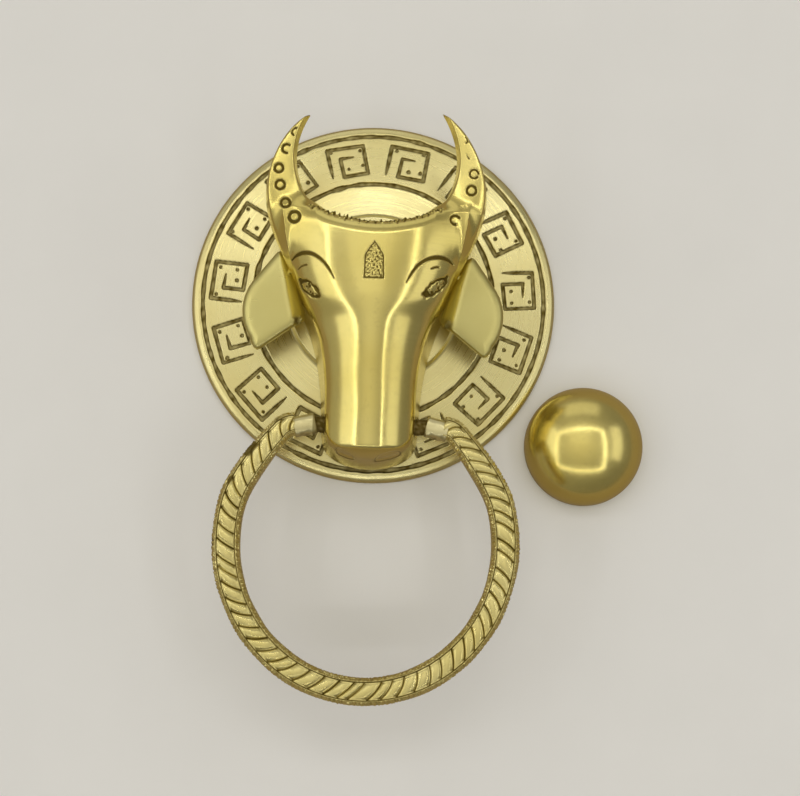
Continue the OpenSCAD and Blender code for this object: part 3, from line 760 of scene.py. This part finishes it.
def head_cuts(x, y):
    """Depth of what is cut and punched into the head and the horns, seen from the front."""
    strokes = [(curve_points(lid, 5), [0.1] + [0.2] * 9 + [0.08], 0.4, 0.2) for lid in LIDS]
    for brow in (LEFT_BROW, RIGHT_BROW):
        line = curve_points(brow, 5)
        along, stations = np.linspace(0, 1, len(line)), np.linspace(0, 1, len(BROW_HALF))
        strokes.append((line, np.interp(along, stations, BROW_HALF), 0.42, 0.22))
    strokes.append((np.array([[27.0, 40.5], [27.8, 39.1]]), [0.1, 0.3], 0.3, 0.2))
    wiggle = curve_points([(25.7, 24.0), (26.4, 23.3), (26.8, 24.2), (27.5, 23.6)], 4)
    strokes.append((wiggle, [0.14] * len(wiggle), 0.22, 0.2))
    rng = np.random.default_rng(8)
    for tick_x in np.concatenate([np.arange(-1.5, 17, 2.6), np.arange(-14, -3, 4.5)]):
        tick_x += rng.normal(0, 0.4)
        edge = CROWN_Y + CROWN_DIP * min(abs(tick_x) / LIFT_REACH, 1) ** 2
        foot = [tick_x - rng.uniform(0, 0.6), edge - rng.uniform(0.9, 1.6)]
        strokes.append((np.array([foot, [tick_x, edge - 0.2]]), [0.05, rng.uniform(0.15, 0.4)], 0.35, 0.2))
    cut = np.zeros_like(x)
    for stroke in strokes:
        cut = np.maximum(cut, stroke_cut(x, y, *stroke))

    for centre, tilt, long, short in EYES:
        dent, inside = oval_cut(x, y, centre, tilt, long, short, 0.16, 0.3)
        rim = 0.5 * bell(inside - 0.12 + 0.12 * coarse(x, y), 0.24)
        rough = smoothstep(inside / 0.3) * (0.12 * coarse(x, y) + 0.06 * grain(x, y))
        cut = np.maximum(cut, dent + np.maximum(rim, rough))
    for px, py, radius, half, start, end in PUNCHES:
        near = np.hypot(x - px, y - py)
        turn = (np.degrees(np.arctan2(y - py, x - px)) - start) % 360
        span = end - start
        fade = smoothstep(np.minimum(turn, span - turn) / 14 + 0.5) if span < 360 else 1.0
        ring = smoothstep((half + 0.08 - np.abs(near - radius)) / 0.25 + 0.4)
        cut = np.maximum(cut, 0.5 * fade * ring)
    rise = (y - MARK_LOW) / (MARK_HIGH - MARK_LOW)
    arch = 1 - np.clip((rise - 0.6) / 0.4, 0, 1) ** 1.25
    half = MARK_HALF * np.where(rise < 0.6, 1 - 0.06 * rise, 0.964 * arch)
    inside = np.minimum(half - np.abs(x - MARK_X), np.minimum(y - MARK_LOW, MARK_HIGH - y))
    floor = 0.2 * smoothstep(inside / 0.25 + 0.5) + 0.1 * grain(x, y) * smoothstep(inside / 0.4)
    outline = 0.38 * smoothstep((0.3 - np.abs(inside)) / 0.25 + 0.3)
    return np.maximum(cut, np.maximum(floor, outline))


CROWN_WORN = 2.2


def crown_edge(x, y, z):
    """How near each point is to the hammered edge of the crown, from 0 to 1."""
    edge = y - CROWN_Y - crown_lift(np.abs(x), np.full_like(y, CROWN_Y))
    rough = 0.35 * Waves(33, 1.6, axes=1)(x)
    near = smoothstep((edge + 0.75 + rough) / 0.5) * smoothstep((1.5 - edge) / 0.5)
    places = np.arange(-21, 22)
    fronts = [z[(np.abs(edge) < 1) & (np.abs(x - place) < 1)].max(initial=20) for place in places]
    near = near * smoothstep((CROWN_WORN + rough - np.interp(x, places, fronts) + z) / 0.8)
    return near * smoothstep((21 - np.abs(x)) / 2) * smoothstep((z - 20) / 5)


def nostril_cuts(x, y, z):
    cut = np.zeros_like(x)
    for centre, tilt, long, short, depth in NOSTRILS:
        dent, inside = oval_cut(x, y, centre, tilt, long, short, depth, 0.45)
        cut = np.maximum(cut, dent)
    return cut * smoothstep((z - 20) / 4)


def casting_field(x, y, z):
    f = blend_either(head_field(x, y, z), horn_field(x, y, z), 8.0)
    f = f + 0.035 * face_waves(x, y, z)
    bore = BORE_R - np.hypot(y - PIVOT_Y, z - PIVOT_Z)
    f = np.maximum(f, bore)
    return np.maximum(f, BOSS_H - 0.2 - z)


def head_casting():
    step = FINE_STEP
    points, quads = sculpt(casting_field, (-36.5, -56, 6.8), (36.5, 58, 43.2), step, 1, 3)
    x, y, z = points.T
    slope = surface_slope(casting_field, points)
    facing = smoothstep((z - 20) / 6) * smoothstep((slope[:, 2] - 0.15) / 0.2)
    cuts, edge, dents = head_cuts(x, y) * facing, crown_edge(x, y, z), nostril_cuts(x, y, z)
    bites = 0.3 * edge * Waves(34, 1.1, 14)(x, y, z)
    points = points - slope * (cuts + dents + bites)[:, None]
    dark = smoothstep((cuts - 0.13) / 0.25) * 0.9
    dark = np.maximum(dark, edge * (0.7 + 0.3 * Waves(35, 0.9)(x, y, z)))
    dark = np.maximum(dark, 0.6 * bell(dents - 0.13, 0.1) * (dents > 0.01))
    # Painted shade in and round the bore of the pivot rod.
    dark = np.maximum(dark, 0.8 * bell(np.hypot(y - PIVOT_Y, z - PIVOT_Z) - BORE_R, 0.5))
    # Painted shade along the foot of the head, where it meets the plate.
    dark = np.maximum(dark, 0.6 * smoothstep((BOSS_H + 0.8 - z) / 0.8))
    return make_piece(
        "head_with_horns", to_row(points), [quads], "knocker", head_brass,
        ["head_casting"], dark,
    )


head_casting()


# ---------- ears ----------

EAR_TURN = math.radians(12)
EAR_TILT = math.tan(EAR_TURN)
EAR_X, EAR_Y, EAR_FRONT = 24.5, -7.5, 24.0
EAR_T = 3.0


def ear_outline(side):
    """The ear's outline as seen from the front, through a few points."""
    turns = np.radians(np.linspace(38, -37.5, 9))
    round_edge = np.stack([2.2 + 13.8 * np.cos(turns), 0.3 + 14.4 * np.sin(turns)], 1)
    corner = [[12.8, -9.9], [11.9, -11.4], [11.0, -12.0], [9.9, -11.7]]
    points = np.vstack([[[2.0, 17.4], [4.6, 18.6], [5.6, 18.2]], round_edge, corner, [[-5.4, -1.6]]])
    pitch = math.radians(-3 if side > 0 else 0)
    c, s = math.cos(pitch), math.sin(pitch)
    points = points @ np.array([[c, s], [-s, c]])
    return points * [math.cos(EAR_TURN), 1] + [EAR_X, EAR_Y]


def outline_distance(x, y, outline):
    """Distance to a closed outline, negative inside."""
    best = np.full(x.shape, 1e9)
    inside = np.zeros(x.shape, bool)
    for a, b in zip(outline, np.roll(outline, -1, 0)):
        best, d = np.minimum(best, gap_to_segment(x, y, a, b)[0]), b - a
        crosses = (a[1] > y) != (b[1] > y)
        if abs(d[1]) > 1e-9:
            inside ^= crosses & (x < a[0] + (y - a[1]) * d[0] / d[1])
    return np.where(inside, -best, best)


EAR_CREASE = np.array([[28.6, 8.6], [24.3, -11.6]])
BRAZE = [(22.9, -10.3, 22.6, 1.2), (24.3, -11.0, 23.0, 0.9), (26.0, 4.6, 21.4, 1.2)]


def ear_field(side):
    """A cushion-like flap: its face rolls down at the outline and folds down to the head's side."""
    outline = ear_outline(side)
    lumps = Waves(41 + side, 2.2)
    waves = Waves(43 + side, 14)
    along = EAR_CREASE[1] - EAR_CREASE[0]
    along = along / np.hypot(*along)

    def field(x, y, z):
        across = x * side
        edge = outline_distance(across, y, outline)
        plane = EAR_FRONT - (across - EAR_X) * EAR_TILT
        rim = np.maximum(-edge, 0)
        past_crease = (across - EAR_CREASE[0, 0]) * along[1] - (y - EAR_CREASE[0, 1]) * along[0]
        fold = 1.05 * 0.5 * np.logaddexp(0, past_crease / 0.5)
        face = 0.75 - 0.95 * np.exp(-rim / 0.75) - 0.02 * np.maximum(3.5 - rim, 0) ** 2 - fold
        front = (z - plane - face + 0.03 * waves(x, y, z)) * 0.8
        back = plane - EAR_T - np.minimum(fold, 1.2) - z
        f = round_both(round_both(edge, front, 0.3), back, 0.4)
        for bx, by, bz, br in BRAZE:
            blob = np.sqrt((across - bx) ** 2 + (y - by) ** 2 + (z - bz) ** 2) - br + 0.25 * lumps(x, y, z)
            f = blend_either(f, blob, 0.5)
        return f

    return field


def ear(side, name, node):
    field = ear_field(side)
    low, high = (17.5, -23.0, 14.5), (43.0, 13.5, 27.0)
    if side < 0:
        low, high = (-high[0], low[1], low[2]), (-low[0], high[1], high[2])
    points, quads = sculpt(field, low, high, FINE_STEP, 1)
    x, y, z = points.T
    rough = bell(np.hypot(x * side - 23.2, y + 10.6), 1.5) * smoothstep((24.6 - z) / 0.6)
    # Painted shade on the back and underside of the flap, more than 2.2 mm behind its face.
    back = smoothstep((EAR_FRONT - (x * side - EAR_X) * EAR_TILT - 2.2 - z) / 0.5) * 0.25
    return make_piece(name, to_row(points), [quads], "knocker", ear_brass, [node],
                      np.maximum(rough * 0.75, back))


ear(-1, "ear_left_flap", "ear_left")
ear(1, "ear_right_flap", "ear_right")


# ---------- ring ----------

RING_A, RING_B, RING_DROP = 42.0, 44.2, 35.5
BAR_W, BAR_T, END_TAPER, TAPER_LENGTH = 8.4, 8.0, 0.82, 24.0
BEND_R, BEND_TURN, JOIN_TURN = 5.5, math.radians(50), math.radians(75)
PAD_PITCH, PAD_SLANT, PAD_HALF = 4.35, math.tan(math.radians(37)), 2.72
BACK_SHARE = 0.4


def ring_line():
    """The centre line from the right ferrule round to the left one, evenly spaced."""
    cy = PIVOT_Y - RING_DROP
    turn = np.linspace(0, BEND_TURN, 24, endpoint=False)
    bend = np.stack([FERRULE_OUT + BEND_R * np.sin(turn), PIVOT_Y - BEND_R * (1 - np.cos(turn))], 1)
    fall = BEND_R * (1 - math.cos(BEND_TURN))
    p = np.array([FERRULE_OUT + BEND_R * math.sin(BEND_TURN), PIVOT_Y - fall])
    d = np.array([math.cos(BEND_TURN), -math.sin(BEND_TURN)])
    q = np.array([RING_A * math.sin(JOIN_TURN), cy + RING_B * math.cos(JOIN_TURN)])
    e = np.array([RING_A * math.cos(JOIN_TURN), -RING_B * math.sin(JOIN_TURN)])
    corner = p + d * ((q[0] - p[0]) * e[1] - (q[1] - p[1]) * e[0]) / (d[0] * e[1] - d[1] * e[0])
    t = np.linspace(0, 1, 60, endpoint=False)[:, None]
    join = p * (1 - t) ** 2 + corner * 2 * t * (1 - t) + q * t * t
    turn = np.linspace(JOIN_TURN, math.pi, 300)
    side = np.stack([RING_A * np.sin(turn), cy + RING_B * np.cos(turn)], 1)
    right = np.vstack([bend, join, side])
    line = np.vstack([right, (right * [-1, 1])[-2::-1]])
    along = run_along(line)
    even = np.linspace(0, along[-1], int(along[-1] / (0.21)))
    return even, points_at(even, along, line)


def bar_section(count):
    """The bar's section as (across, out), from one edge of the front band round the back."""
    w, t = BAR_W / 2, BAR_T / 2
    corners = np.array([
        [-2.9, t - 0.1], [0, t], [2.9, t - 0.1], [w - 0.15, t - 1.7], [w, t - 2.6], [w, -t + 1.9],
        [w - 1.9, -t], [-w + 1.9, -t], [-w, -t + 1.9], [-w, t - 2.6], [-w + 0.15, t - 1.7],
    ])
    loop = np.vstack([corners, corners[:1]])
    along = run_along(loop)
    dense = points_at(np.arange(0, along[-1], 0.08), along, loop)
    kernel = np.hanning(9) / np.hanning(9).sum()
    wrapped = np.vstack([dense[-4:], dense, dense[:4]])
    dense = np.stack([np.convolve(wrapped[:, k], kernel, "valid") for k in (0, 1)], 1)
    share = np.cumsum(np.where(dense[:, 1] > 1, 1.0, BACK_SHARE))
    order = np.arange(len(dense))
    pick = np.interp(np.linspace(0, share[-1], count, endpoint=False), share, order)
    return points_at(pick, order, dense)


def nearest_place(at, places, pitch):
    """The nearest of a row of places by number, and how far past it each point is."""
    order = np.interp(at, places, np.arange(len(places)))
    nearest = np.round(order).astype(int).clip(0, len(places) - 1)
    return nearest, (order - nearest) * pitch


def pad_cuts(s, v):
    """Depth of the slanted cuts and border lines on the ring's front band."""
    rng = np.random.default_rng(17)
    count = int(s.max() / PAD_PITCH) + 4
    places = (np.arange(count) - 1.5) * PAD_PITCH + rng.normal(0, 0.32, count)
    slant = PAD_SLANT * (1 + 0.2 * Waves(18, 40, 5, 1)(s))
    nearest, off = nearest_place(s - v * slant - 0.05 * v * v, places, PAD_PITCH)
    depth = rng.uniform(0.4, 0.62, count)[nearest]
    width = rng.uniform(0.2, 0.32, count)[nearest]
    second = rng.uniform(-0.1, 0.26, count)[nearest].clip(0)
    cut = depth * bell(off, width) + second * bell(off - rng.uniform(0.6, 1.0, count)[nearest], 0.15)
    pillow = 0.42 * bell(off, 1.05)
    border = 0.46 * bell(np.abs(v) - PAD_HALF, 0.22) + 0.14 * bell(np.abs(v) - PAD_HALF + 0.55, 0.14)
    on_band = smoothstep((PAD_HALF - np.abs(v)) / 0.25)
    crest = 0.06 * v * v
    return np.maximum(cut * on_band, border), (pillow + crest) * on_band


def notch_cuts(s, seed, pitch):
    """Irregular cross-notches along an edge."""
    rng = np.random.default_rng(seed)
    count = int(s.max() / pitch) + 3
    places = np.arange(count) * pitch + rng.normal(0, pitch * 0.22, count)
    nearest, off = nearest_place(s, places, pitch)
    deep = rng.uniform(0.1, 0.55, count)[nearest]
    wide = rng.uniform(0.14, 0.34, count)[nearest]
    return deep * smoothstep((wide - np.abs(off)) / 0.14 + 0.5)


def ring_handle():
    s, line = ring_line()
    tangent = np.gradient(line, axis=0)
    tangent /= np.linalg.norm(tangent, axis=1)[:, None]
    for k in (0, 1):
        padded = np.pad(tangent[:, k], 12, mode="edge")
        tangent[:, k] = np.convolve(padded, np.ones(25) / 25, "valid")
    tangent /= np.linalg.norm(tangent, axis=1)[:, None]
    outward = np.stack([-tangent[:, 1], tangent[:, 0]], 1)
    section = bar_section(128)
    n, m = len(s), len(section)
    from_end = np.minimum(s, s[-1] - s)
    grow = END_TAPER + (1 - END_TAPER) * smoothstep(from_end / TAPER_LENGTH)
    ss = np.repeat(s[:, None], m, 1)
    across = np.broadcast_to(section[:, 0], (n, m))
    out = np.broadcast_to(section[:, 1], (n, m))
    front = smoothstep((out - 1.2) / 0.8)
    face = smoothstep((out - (BAR_T / 2 - 0.45)) / 0.2)
    facet = front * (1 - face)
    cut, sag = pad_cuts(ss, across)
    cut, sag = cut * smoothstep((out - 2.9) / 0.5), sag * face
    outer_notch = notch_cuts(ss + 0.25 * across, 61, 1.15) * (across > 0)
    inner_notch = notch_cuts(ss - 0.25 * across, 62, 1.4) * (across < 0)
    notch = (outer_notch + 0.7 * inner_notch) * facet
    low_notch = 0.5 * (outer_notch + inner_notch) * smoothstep((out + 2.4) / 1.5) * (1 - front)
    notch = np.maximum(notch, low_notch)
    pebble = 0.09 * Waves(63, 1.1, 14, 3)(ss, across, out) * facet
    wave = 0.06 * Waves(64, 11, 8, 3)(ss, across, out)
    inset = cut + sag + notch + pebble + wave
    radial = np.stack([across, out], -1)
    direction = radial / np.linalg.norm(radial, axis=-1)[..., None]
    facing = np.stack([
        np.where(face > 0.5, 0.0, direction[..., 0]), np.where(face > 0.5, 1.0, direction[..., 1])
    ], -1)
    shaped = radial * grow[:, None, None] - facing * inset[..., None]
    xy = line[:, None, :] + outward[:, None, :] * shaped[..., :1]
    points = np.concatenate([xy, PIVOT_Z + shaped[..., 1:]], -1).reshape(-1, 3)
    quads = ring_quads(n, m)
    caps = [np.arange(m), np.arange(m)[::-1] + (n - 1) * m]
    fans = [np.stack([np.full(m - 2, cap[0]), cap[2:], cap[1:-1]], 1) for cap in caps]
    dark = smoothstep(cut / 0.42) * 0.8 + np.clip(notch / 0.4, 0, 1) * 0.32
    left_side = smoothstep((ss - s[-1] * 0.7) / (s[-1] * 0.08))
    stain = smoothstep((Waves(65, 6.5, 10, 3)(ss, across, out) - 1.1) / 0.5)
    stain = 0.75 * stain * left_side * smoothstep((across - 1.2) / 1.2) * smoothstep((out + 1) / 1.5)
    dark = np.maximum(dark, stain)
    return make_piece(
        "ring_cable", to_row(points), [quads, np.vstack(fans)], "ring", ring_brass,
        ["ring_handle"], np.clip(dark, 0, 1).ravel(),
    )


ring_handle()


def lathe_points(profile, columns, shape):
    """A turned shape about a level axis that runs from left to right."""
    turn = full_turn(columns)
    along, radius = np.array(profile).T
    a = np.repeat(along[:, None], columns, 1)
    r = np.repeat(radius[:, None], columns, 1)
    t = np.broadcast_to(turn, a.shape)
    a, r = shape(a, r, t)
    points = np.stack([a, r * np.cos(t), r * np.sin(t)], -1).reshape(-1, 3)
    return points, ring_quads(len(profile), columns)


FERRULE_TILT, FERRULE_RIGHT, FERRULE_DOWN = math.radians(-13), 0.45, 0.35


def ferrule(side, name, node):
    """A hand-filed sleeve that slopes down and outwards, with a ragged lower edge."""
    lumps = Waves(71 + side, 2.4)
    half = (FERRULE_OUT - FERRULE_IN) / 2 + 0.35
    radius = (ferrule_high[1] - ferrule_low[1]) / 2 - 0.35
    steps = np.linspace(-half + 0.25, half + 0.2, 44)
    profile = [(-half + 0.4, ROD_R - 0.3), (-half, ROD_R), (-half, radius - 0.25)]
    profile += [(-half + 0.08, radius - 0.08), *((a, radius) for a in steps)]
    profile += [(half + 0.38, radius - 0.1), (half + 0.45, radius - 0.35), (half + 0.45, ROD_R - 0.4)]

    def shape(a, r, t):
        outer = smoothstep((r - radius + 0.5) / 0.3)
        low = smoothstep((-np.cos(t) - 0.35) / 0.4)
        lump = lumps(a, np.cos(t) * 3, np.sin(t) * 3)
        squarish = -0.12 * np.cos(4 * t)
        r = r + outer * (squarish + 0.015 * lump + low * (0.08 * lump - 0.03))
        a = a + outer * 0.05 * lump * (np.abs(a) > half - 0.6)
        return a, r

    middle = (FERRULE_IN + FERRULE_OUT) / 2
    points, quads = lathe_points(profile, 128, shape)
    if side < 0:
        points = points * [-1, 1, 1]
        quads = quads[:, ::-1]
    tilt = FERRULE_TILT * side
    c, s = math.cos(tilt), math.sin(tilt)
    points = points @ np.array([[c, s, 0], [-s, c, 0], [0, 0, 1]])
    points = points + [side * middle + FERRULE_RIGHT, PIVOT_Y - FERRULE_DOWN, PIVOT_Z]
    # Darker, unevenly, towards the ragged lower edge.
    bottom = smoothstep((PIVOT_Y - 2.4 - points[:, 1]) / 0.8)
    # Painted shade on the inner end, in the gap against the muzzle's side.
    inner = smoothstep((FERRULE_IN + 0.35 - np.abs(points[:, 0])) / 0.3)
    dark = np.maximum(0.35 * bottom * (0.6 + 0.4 * lumps(*points.T)), 0.5 * inner)
    return make_piece(
        name, to_row(points), [quads], "ring", ferrule_brass, [node],
        np.clip(dark, 0, 1),
    )


ferrule(-1, "ferrule_left_sleeve", "ring_ferrule_left")
ferrule(1, "ferrule_right_sleeve", "ring_ferrule_right")


def pivot_rod():
    """The rod through the muzzle, worn where it shows, and dark all over: its tarnish and painted shade of
    the narrow gaps it shows through.
    """
    low, high = cad_span("pivot_rod")
    waves = Waves(81, 1.4)
    steps = np.linspace(low[0] + 0.2, high[0] - 0.2, 260)
    profile = [(low[0], 0.01), (low[0], ROD_R - 0.2)] + [(a, ROD_R) for a in steps]
    profile += [(high[0], ROD_R - 0.2), (high[0], 0.01)]

    def shape(a, r, t):
        shown = smoothstep((np.abs(a) - 14) / 1) * (r > 1)
        lump = waves(a, 2.5 * np.cos(t), 2.5 * np.sin(t))
        return a, r - shown * (0.1 + 0.05 * lump)

    points, quads = lathe_points(profile, 64, shape)
    points = points + [0, PIVOT_Y, PIVOT_Z]
    # Dark all over: tarnish and painted shade.
    dark = 0.62 + 0.14 * waves(*points.T)
    return make_piece(
        "pivot_rod_worn", to_row(points), [quads], "ring", rod_brass, ["pivot_rod"],
        np.clip(dark, 0, 1),
    )


pivot_rod()


# ---------- striker ----------


DOME_SIDES, DOME_CAP, DOME_CORNER, DOME_HOLE_DEPTH = 256, 1.14, 0.62, 10.0
dome_middle = (dome_low[:2] + dome_high[:2]) / 2
DOME_R = (dome_high[0] - dome_low[0]) / 2


def striker():
    """A polished dome: a spherical cap that rounds over into the door."""
    r, height = DOME_R, dome_high[2]
    cap_r, corner_r = r * DOME_CAP, r * DOME_CORNER
    cap_turn = math.asin((r - corner_r) / (cap_r - corner_r))
    corner_h = height - cap_r + (cap_r - corner_r) * math.cos(cap_turn)
    cap = np.linspace(0.004, cap_turn, 90, endpoint=False)
    corner = np.linspace(cap_turn, math.pi / 2, 70)
    profile = np.vstack([
        np.stack([cap_r * np.sin(cap), height - cap_r * (1 - np.cos(cap))], 1),
        np.stack([r - corner_r * (1 - np.sin(corner)), corner_h + corner_r * np.cos(corner)], 1),
        [[r, 0.5], [r - 0.1, 0.12], [r - 0.3, 0.0], [r * 0.6, 0.0], [DOOR_HOLE_R + 0.3, 0.0],
         [DOOR_HOLE_R, 0.3], [DOOR_HOLE_R, DOME_HOLE_DEPTH - 0.3], [0.05, DOME_HOLE_DEPTH]],
    ])
    turn = full_turn(DOME_SIDES)
    xy = around(profile[:, :1], turn)
    zz = profile[:, 1:] + 0 * turn
    zz = zz + 0.02 * Waves(91, 15)(xy[..., 0], xy[..., 1], zz) * (zz > 2)
    points = np.concatenate([xy + dome_middle, zz[..., None]], -1).reshape(-1, 3)
    quads = ring_quads(len(profile), DOME_SIDES)[:, ::-1]
    top = np.arange(DOME_SIDES)
    fan = np.stack([0 * top[2:], top[1:-1], top[2:]], 1)
    end = top + (len(profile) - 1) * DOME_SIDES
    hole = np.stack([end[0] + 0 * end[2:], end[2:], end[1:-1]], 1)
    # Painted shade round the foot of the dome, where it meets the door.
    dark = 0.3 * smoothstep((1.0 - points[:, 2]) / 0.9)
    return make_piece(
        "striker_polished", to_row(points), [quads, fan, hole], "knocker", dome_brass,
        ["striker_dome"], dark,
    )


striker()


# ---------- fasteners, as the CAD has them ----------

for node in ("head_screws", "head_screw_washers"):
    fastener = frame["nodes"][node]
    fastener.data.materials.clear()
    fastener.data.materials.append(zinc_steel)


# ---------- backdrop, light and camera ----------

WALL_TONES, WALL_IN_REFLECTIONS = ((0.93, 0.92, 0.90), (0.88, 0.87, 0.85)), (0.42, 0.34, 0.24)
WALL_R, WALL_GAP, WALL_LAP = 3000.0, 0.4, 0.3


def backdrop():
    """A pale wall at the door plane, which the brass mirrors darker than it is.

    It is clear from behind and open behind the plate and the dome, so that back views show them.
    """
    openings = [(0, 0, RIM_R - WALL_LAP), (*dome_middle, DOME_R - WALL_LAP)]
    points, tris = disc_with_holes(around(WALL_R, full_turn(64)), openings, -WALL_GAP, True)
    mesh = bpy.data.meshes.new("backdrop")
    mesh.from_pydata(to_row(points).tolist(), [], tris.tolist())
    wall_object = bpy.data.objects.new("backdrop", mesh)
    bpy.context.scene.collection.objects.link(wall_object)
    material = bpy.data.materials.new("pale_wall")
    tree = Tree(material)
    tone = tree.mix(tree.noise(tree.object_coords(), 30, 4), *WALL_TONES)
    tone = tree.mix(tree.add("LightPath").outputs["Is Camera Ray"], WALL_IN_REFLECTIONS, tone)
    shader = tree.put(tree.nodes["Principled BSDF"], {"Base Color": tone, "Roughness": 0.9})
    seen = tree.add("MixShader", {
        "Fac": tree.add("NewGeometry").outputs["Backfacing"],
        1: shader.outputs["BSDF"],
        2: tree.add("BsdfTransparent").outputs["BSDF"],
    })
    tree.link(seen.outputs["Shader"], tree.nodes["Material Output"].inputs["Surface"])
    mesh.materials.append(material)


backdrop()

CAMERA_AT = Vector((0.00133, -0.59329, -0.12086))
CAMERA_RIGHT = Vector((0.99944, -0.01778, 0.02825))
CAMERA_UP = Vector((-0.03061, -0.15069, 0.98811))
LENS, SENSOR = 85.5, 36.0


def camera_turn():
    back = CAMERA_RIGHT.cross(CAMERA_UP)
    return Matrix([CAMERA_RIGHT, CAMERA_UP, back]).transposed().to_4x4()


def camera():
    data = bpy.data.cameras.new("camera")
    data.lens, data.sensor_width = LENS, SENSOR
    data.clip_start, data.clip_end = 0.01, 20
    obj = bpy.data.objects.new("camera", data)
    obj.matrix_world = Matrix.Translation(CAMERA_AT) @ camera_turn()
    bpy.context.scene.collection.objects.link(obj)
    bpy.context.scene.camera = obj


camera()


def panel(name, place, target, width, height, watts, color):
    data = bpy.data.lights.new(name, "AREA")
    data.shape = "RECTANGLE"
    data.size, data.size_y = width, height
    data.energy = watts
    data.color = color
    obj = bpy.data.objects.new(name, data)
    obj.location = place
    obj.rotation_euler = (Vector(target) - Vector(place)).to_track_quat("-Z", "Y").to_euler()
    obj.visible_camera = False
    bpy.context.scene.collection.objects.link(obj)
    return obj


MIDDLE = Vector((0.005, -0.02, -0.035))
ROOM, WHITE = (1.0, 0.96, 0.85), (1.0, 0.99, 0.98)
SIDE_AND_FRONT, LEFT_AND_RIGHT, BELOW = (0.33, 0.8), (1.25, 0.7), 0.7
LINE_W_ANGLE, LINE_H_ANGLE, LINE_OFF_ANGLE = 43.6, 37.2, 5.4


def lights():
    """Soft light all round, a broad panel over the camera and a thin bright frame about it."""
    world = bpy.data.worlds.new("studio")
    tree = Tree(world)
    x, y, z = tree.add("SeparateXYZ", {"Vector": tree.add("TexCoord").outputs["Generated"]}).outputs
    strength = tree.remap(tree.math("POWER", y, 4), 0, 1, *SIDE_AND_FRONT)
    strength = tree.math("MULTIPLY", strength, tree.remap(z, -1, 0, BELOW, 1))
    strength = tree.math("MULTIPLY", strength, tree.remap(x, -1, 1, *LEFT_AND_RIGHT))
    tree.put(tree.nodes["Background"], {"Color": (*ROOM, 1), "Strength": strength})
    bpy.context.scene.world = world
    panel("over", (-0.08, -0.95, 0.27), MIDDLE, 0.66, 0.54, 0.18, WHITE)
    panel("top", (0.0, -0.5, 1.2), MIDDLE, 1.2, 0.6, 0.9, WHITE)
    panel("left", (-1.2, -0.7, 0.1), MIDDLE, 0.5, 1.2, 1.3, WHITE)
    panel("right", (1.2, -0.7, 0.1), MIDDLE, 0.5, 1.2, 1.3, WHITE)

    distance, thick, watts = 0.55, 0.05, 0.5
    facing = camera_turn()
    centre = MIDDLE + (CAMERA_AT - MIDDLE).normalized() * distance
    centre -= CAMERA_RIGHT * distance * math.tan(math.radians(LINE_OFF_ANGLE))
    half_w = distance * math.tan(math.radians(LINE_W_ANGLE))
    half_h = distance * math.tan(math.radians(LINE_H_ANGLE))
    for name, shift, width, height in (
        ("line_left", -CAMERA_RIGHT * half_w, thick, 2 * half_h),
        ("line_right", CAMERA_RIGHT * half_w, thick, 2 * half_h),
        ("line_top", CAMERA_UP * half_h, 2 * half_w, thick),
        ("line_bottom", -CAMERA_UP * half_h, 2 * half_w, thick),
    ):
        line = panel(name, centre + shift, MIDDLE, width, height, watts, WHITE)
        line.matrix_world = Matrix.Translation(centre + shift) @ facing


lights()
bpy.context.scene.view_settings.view_transform = "Standard"
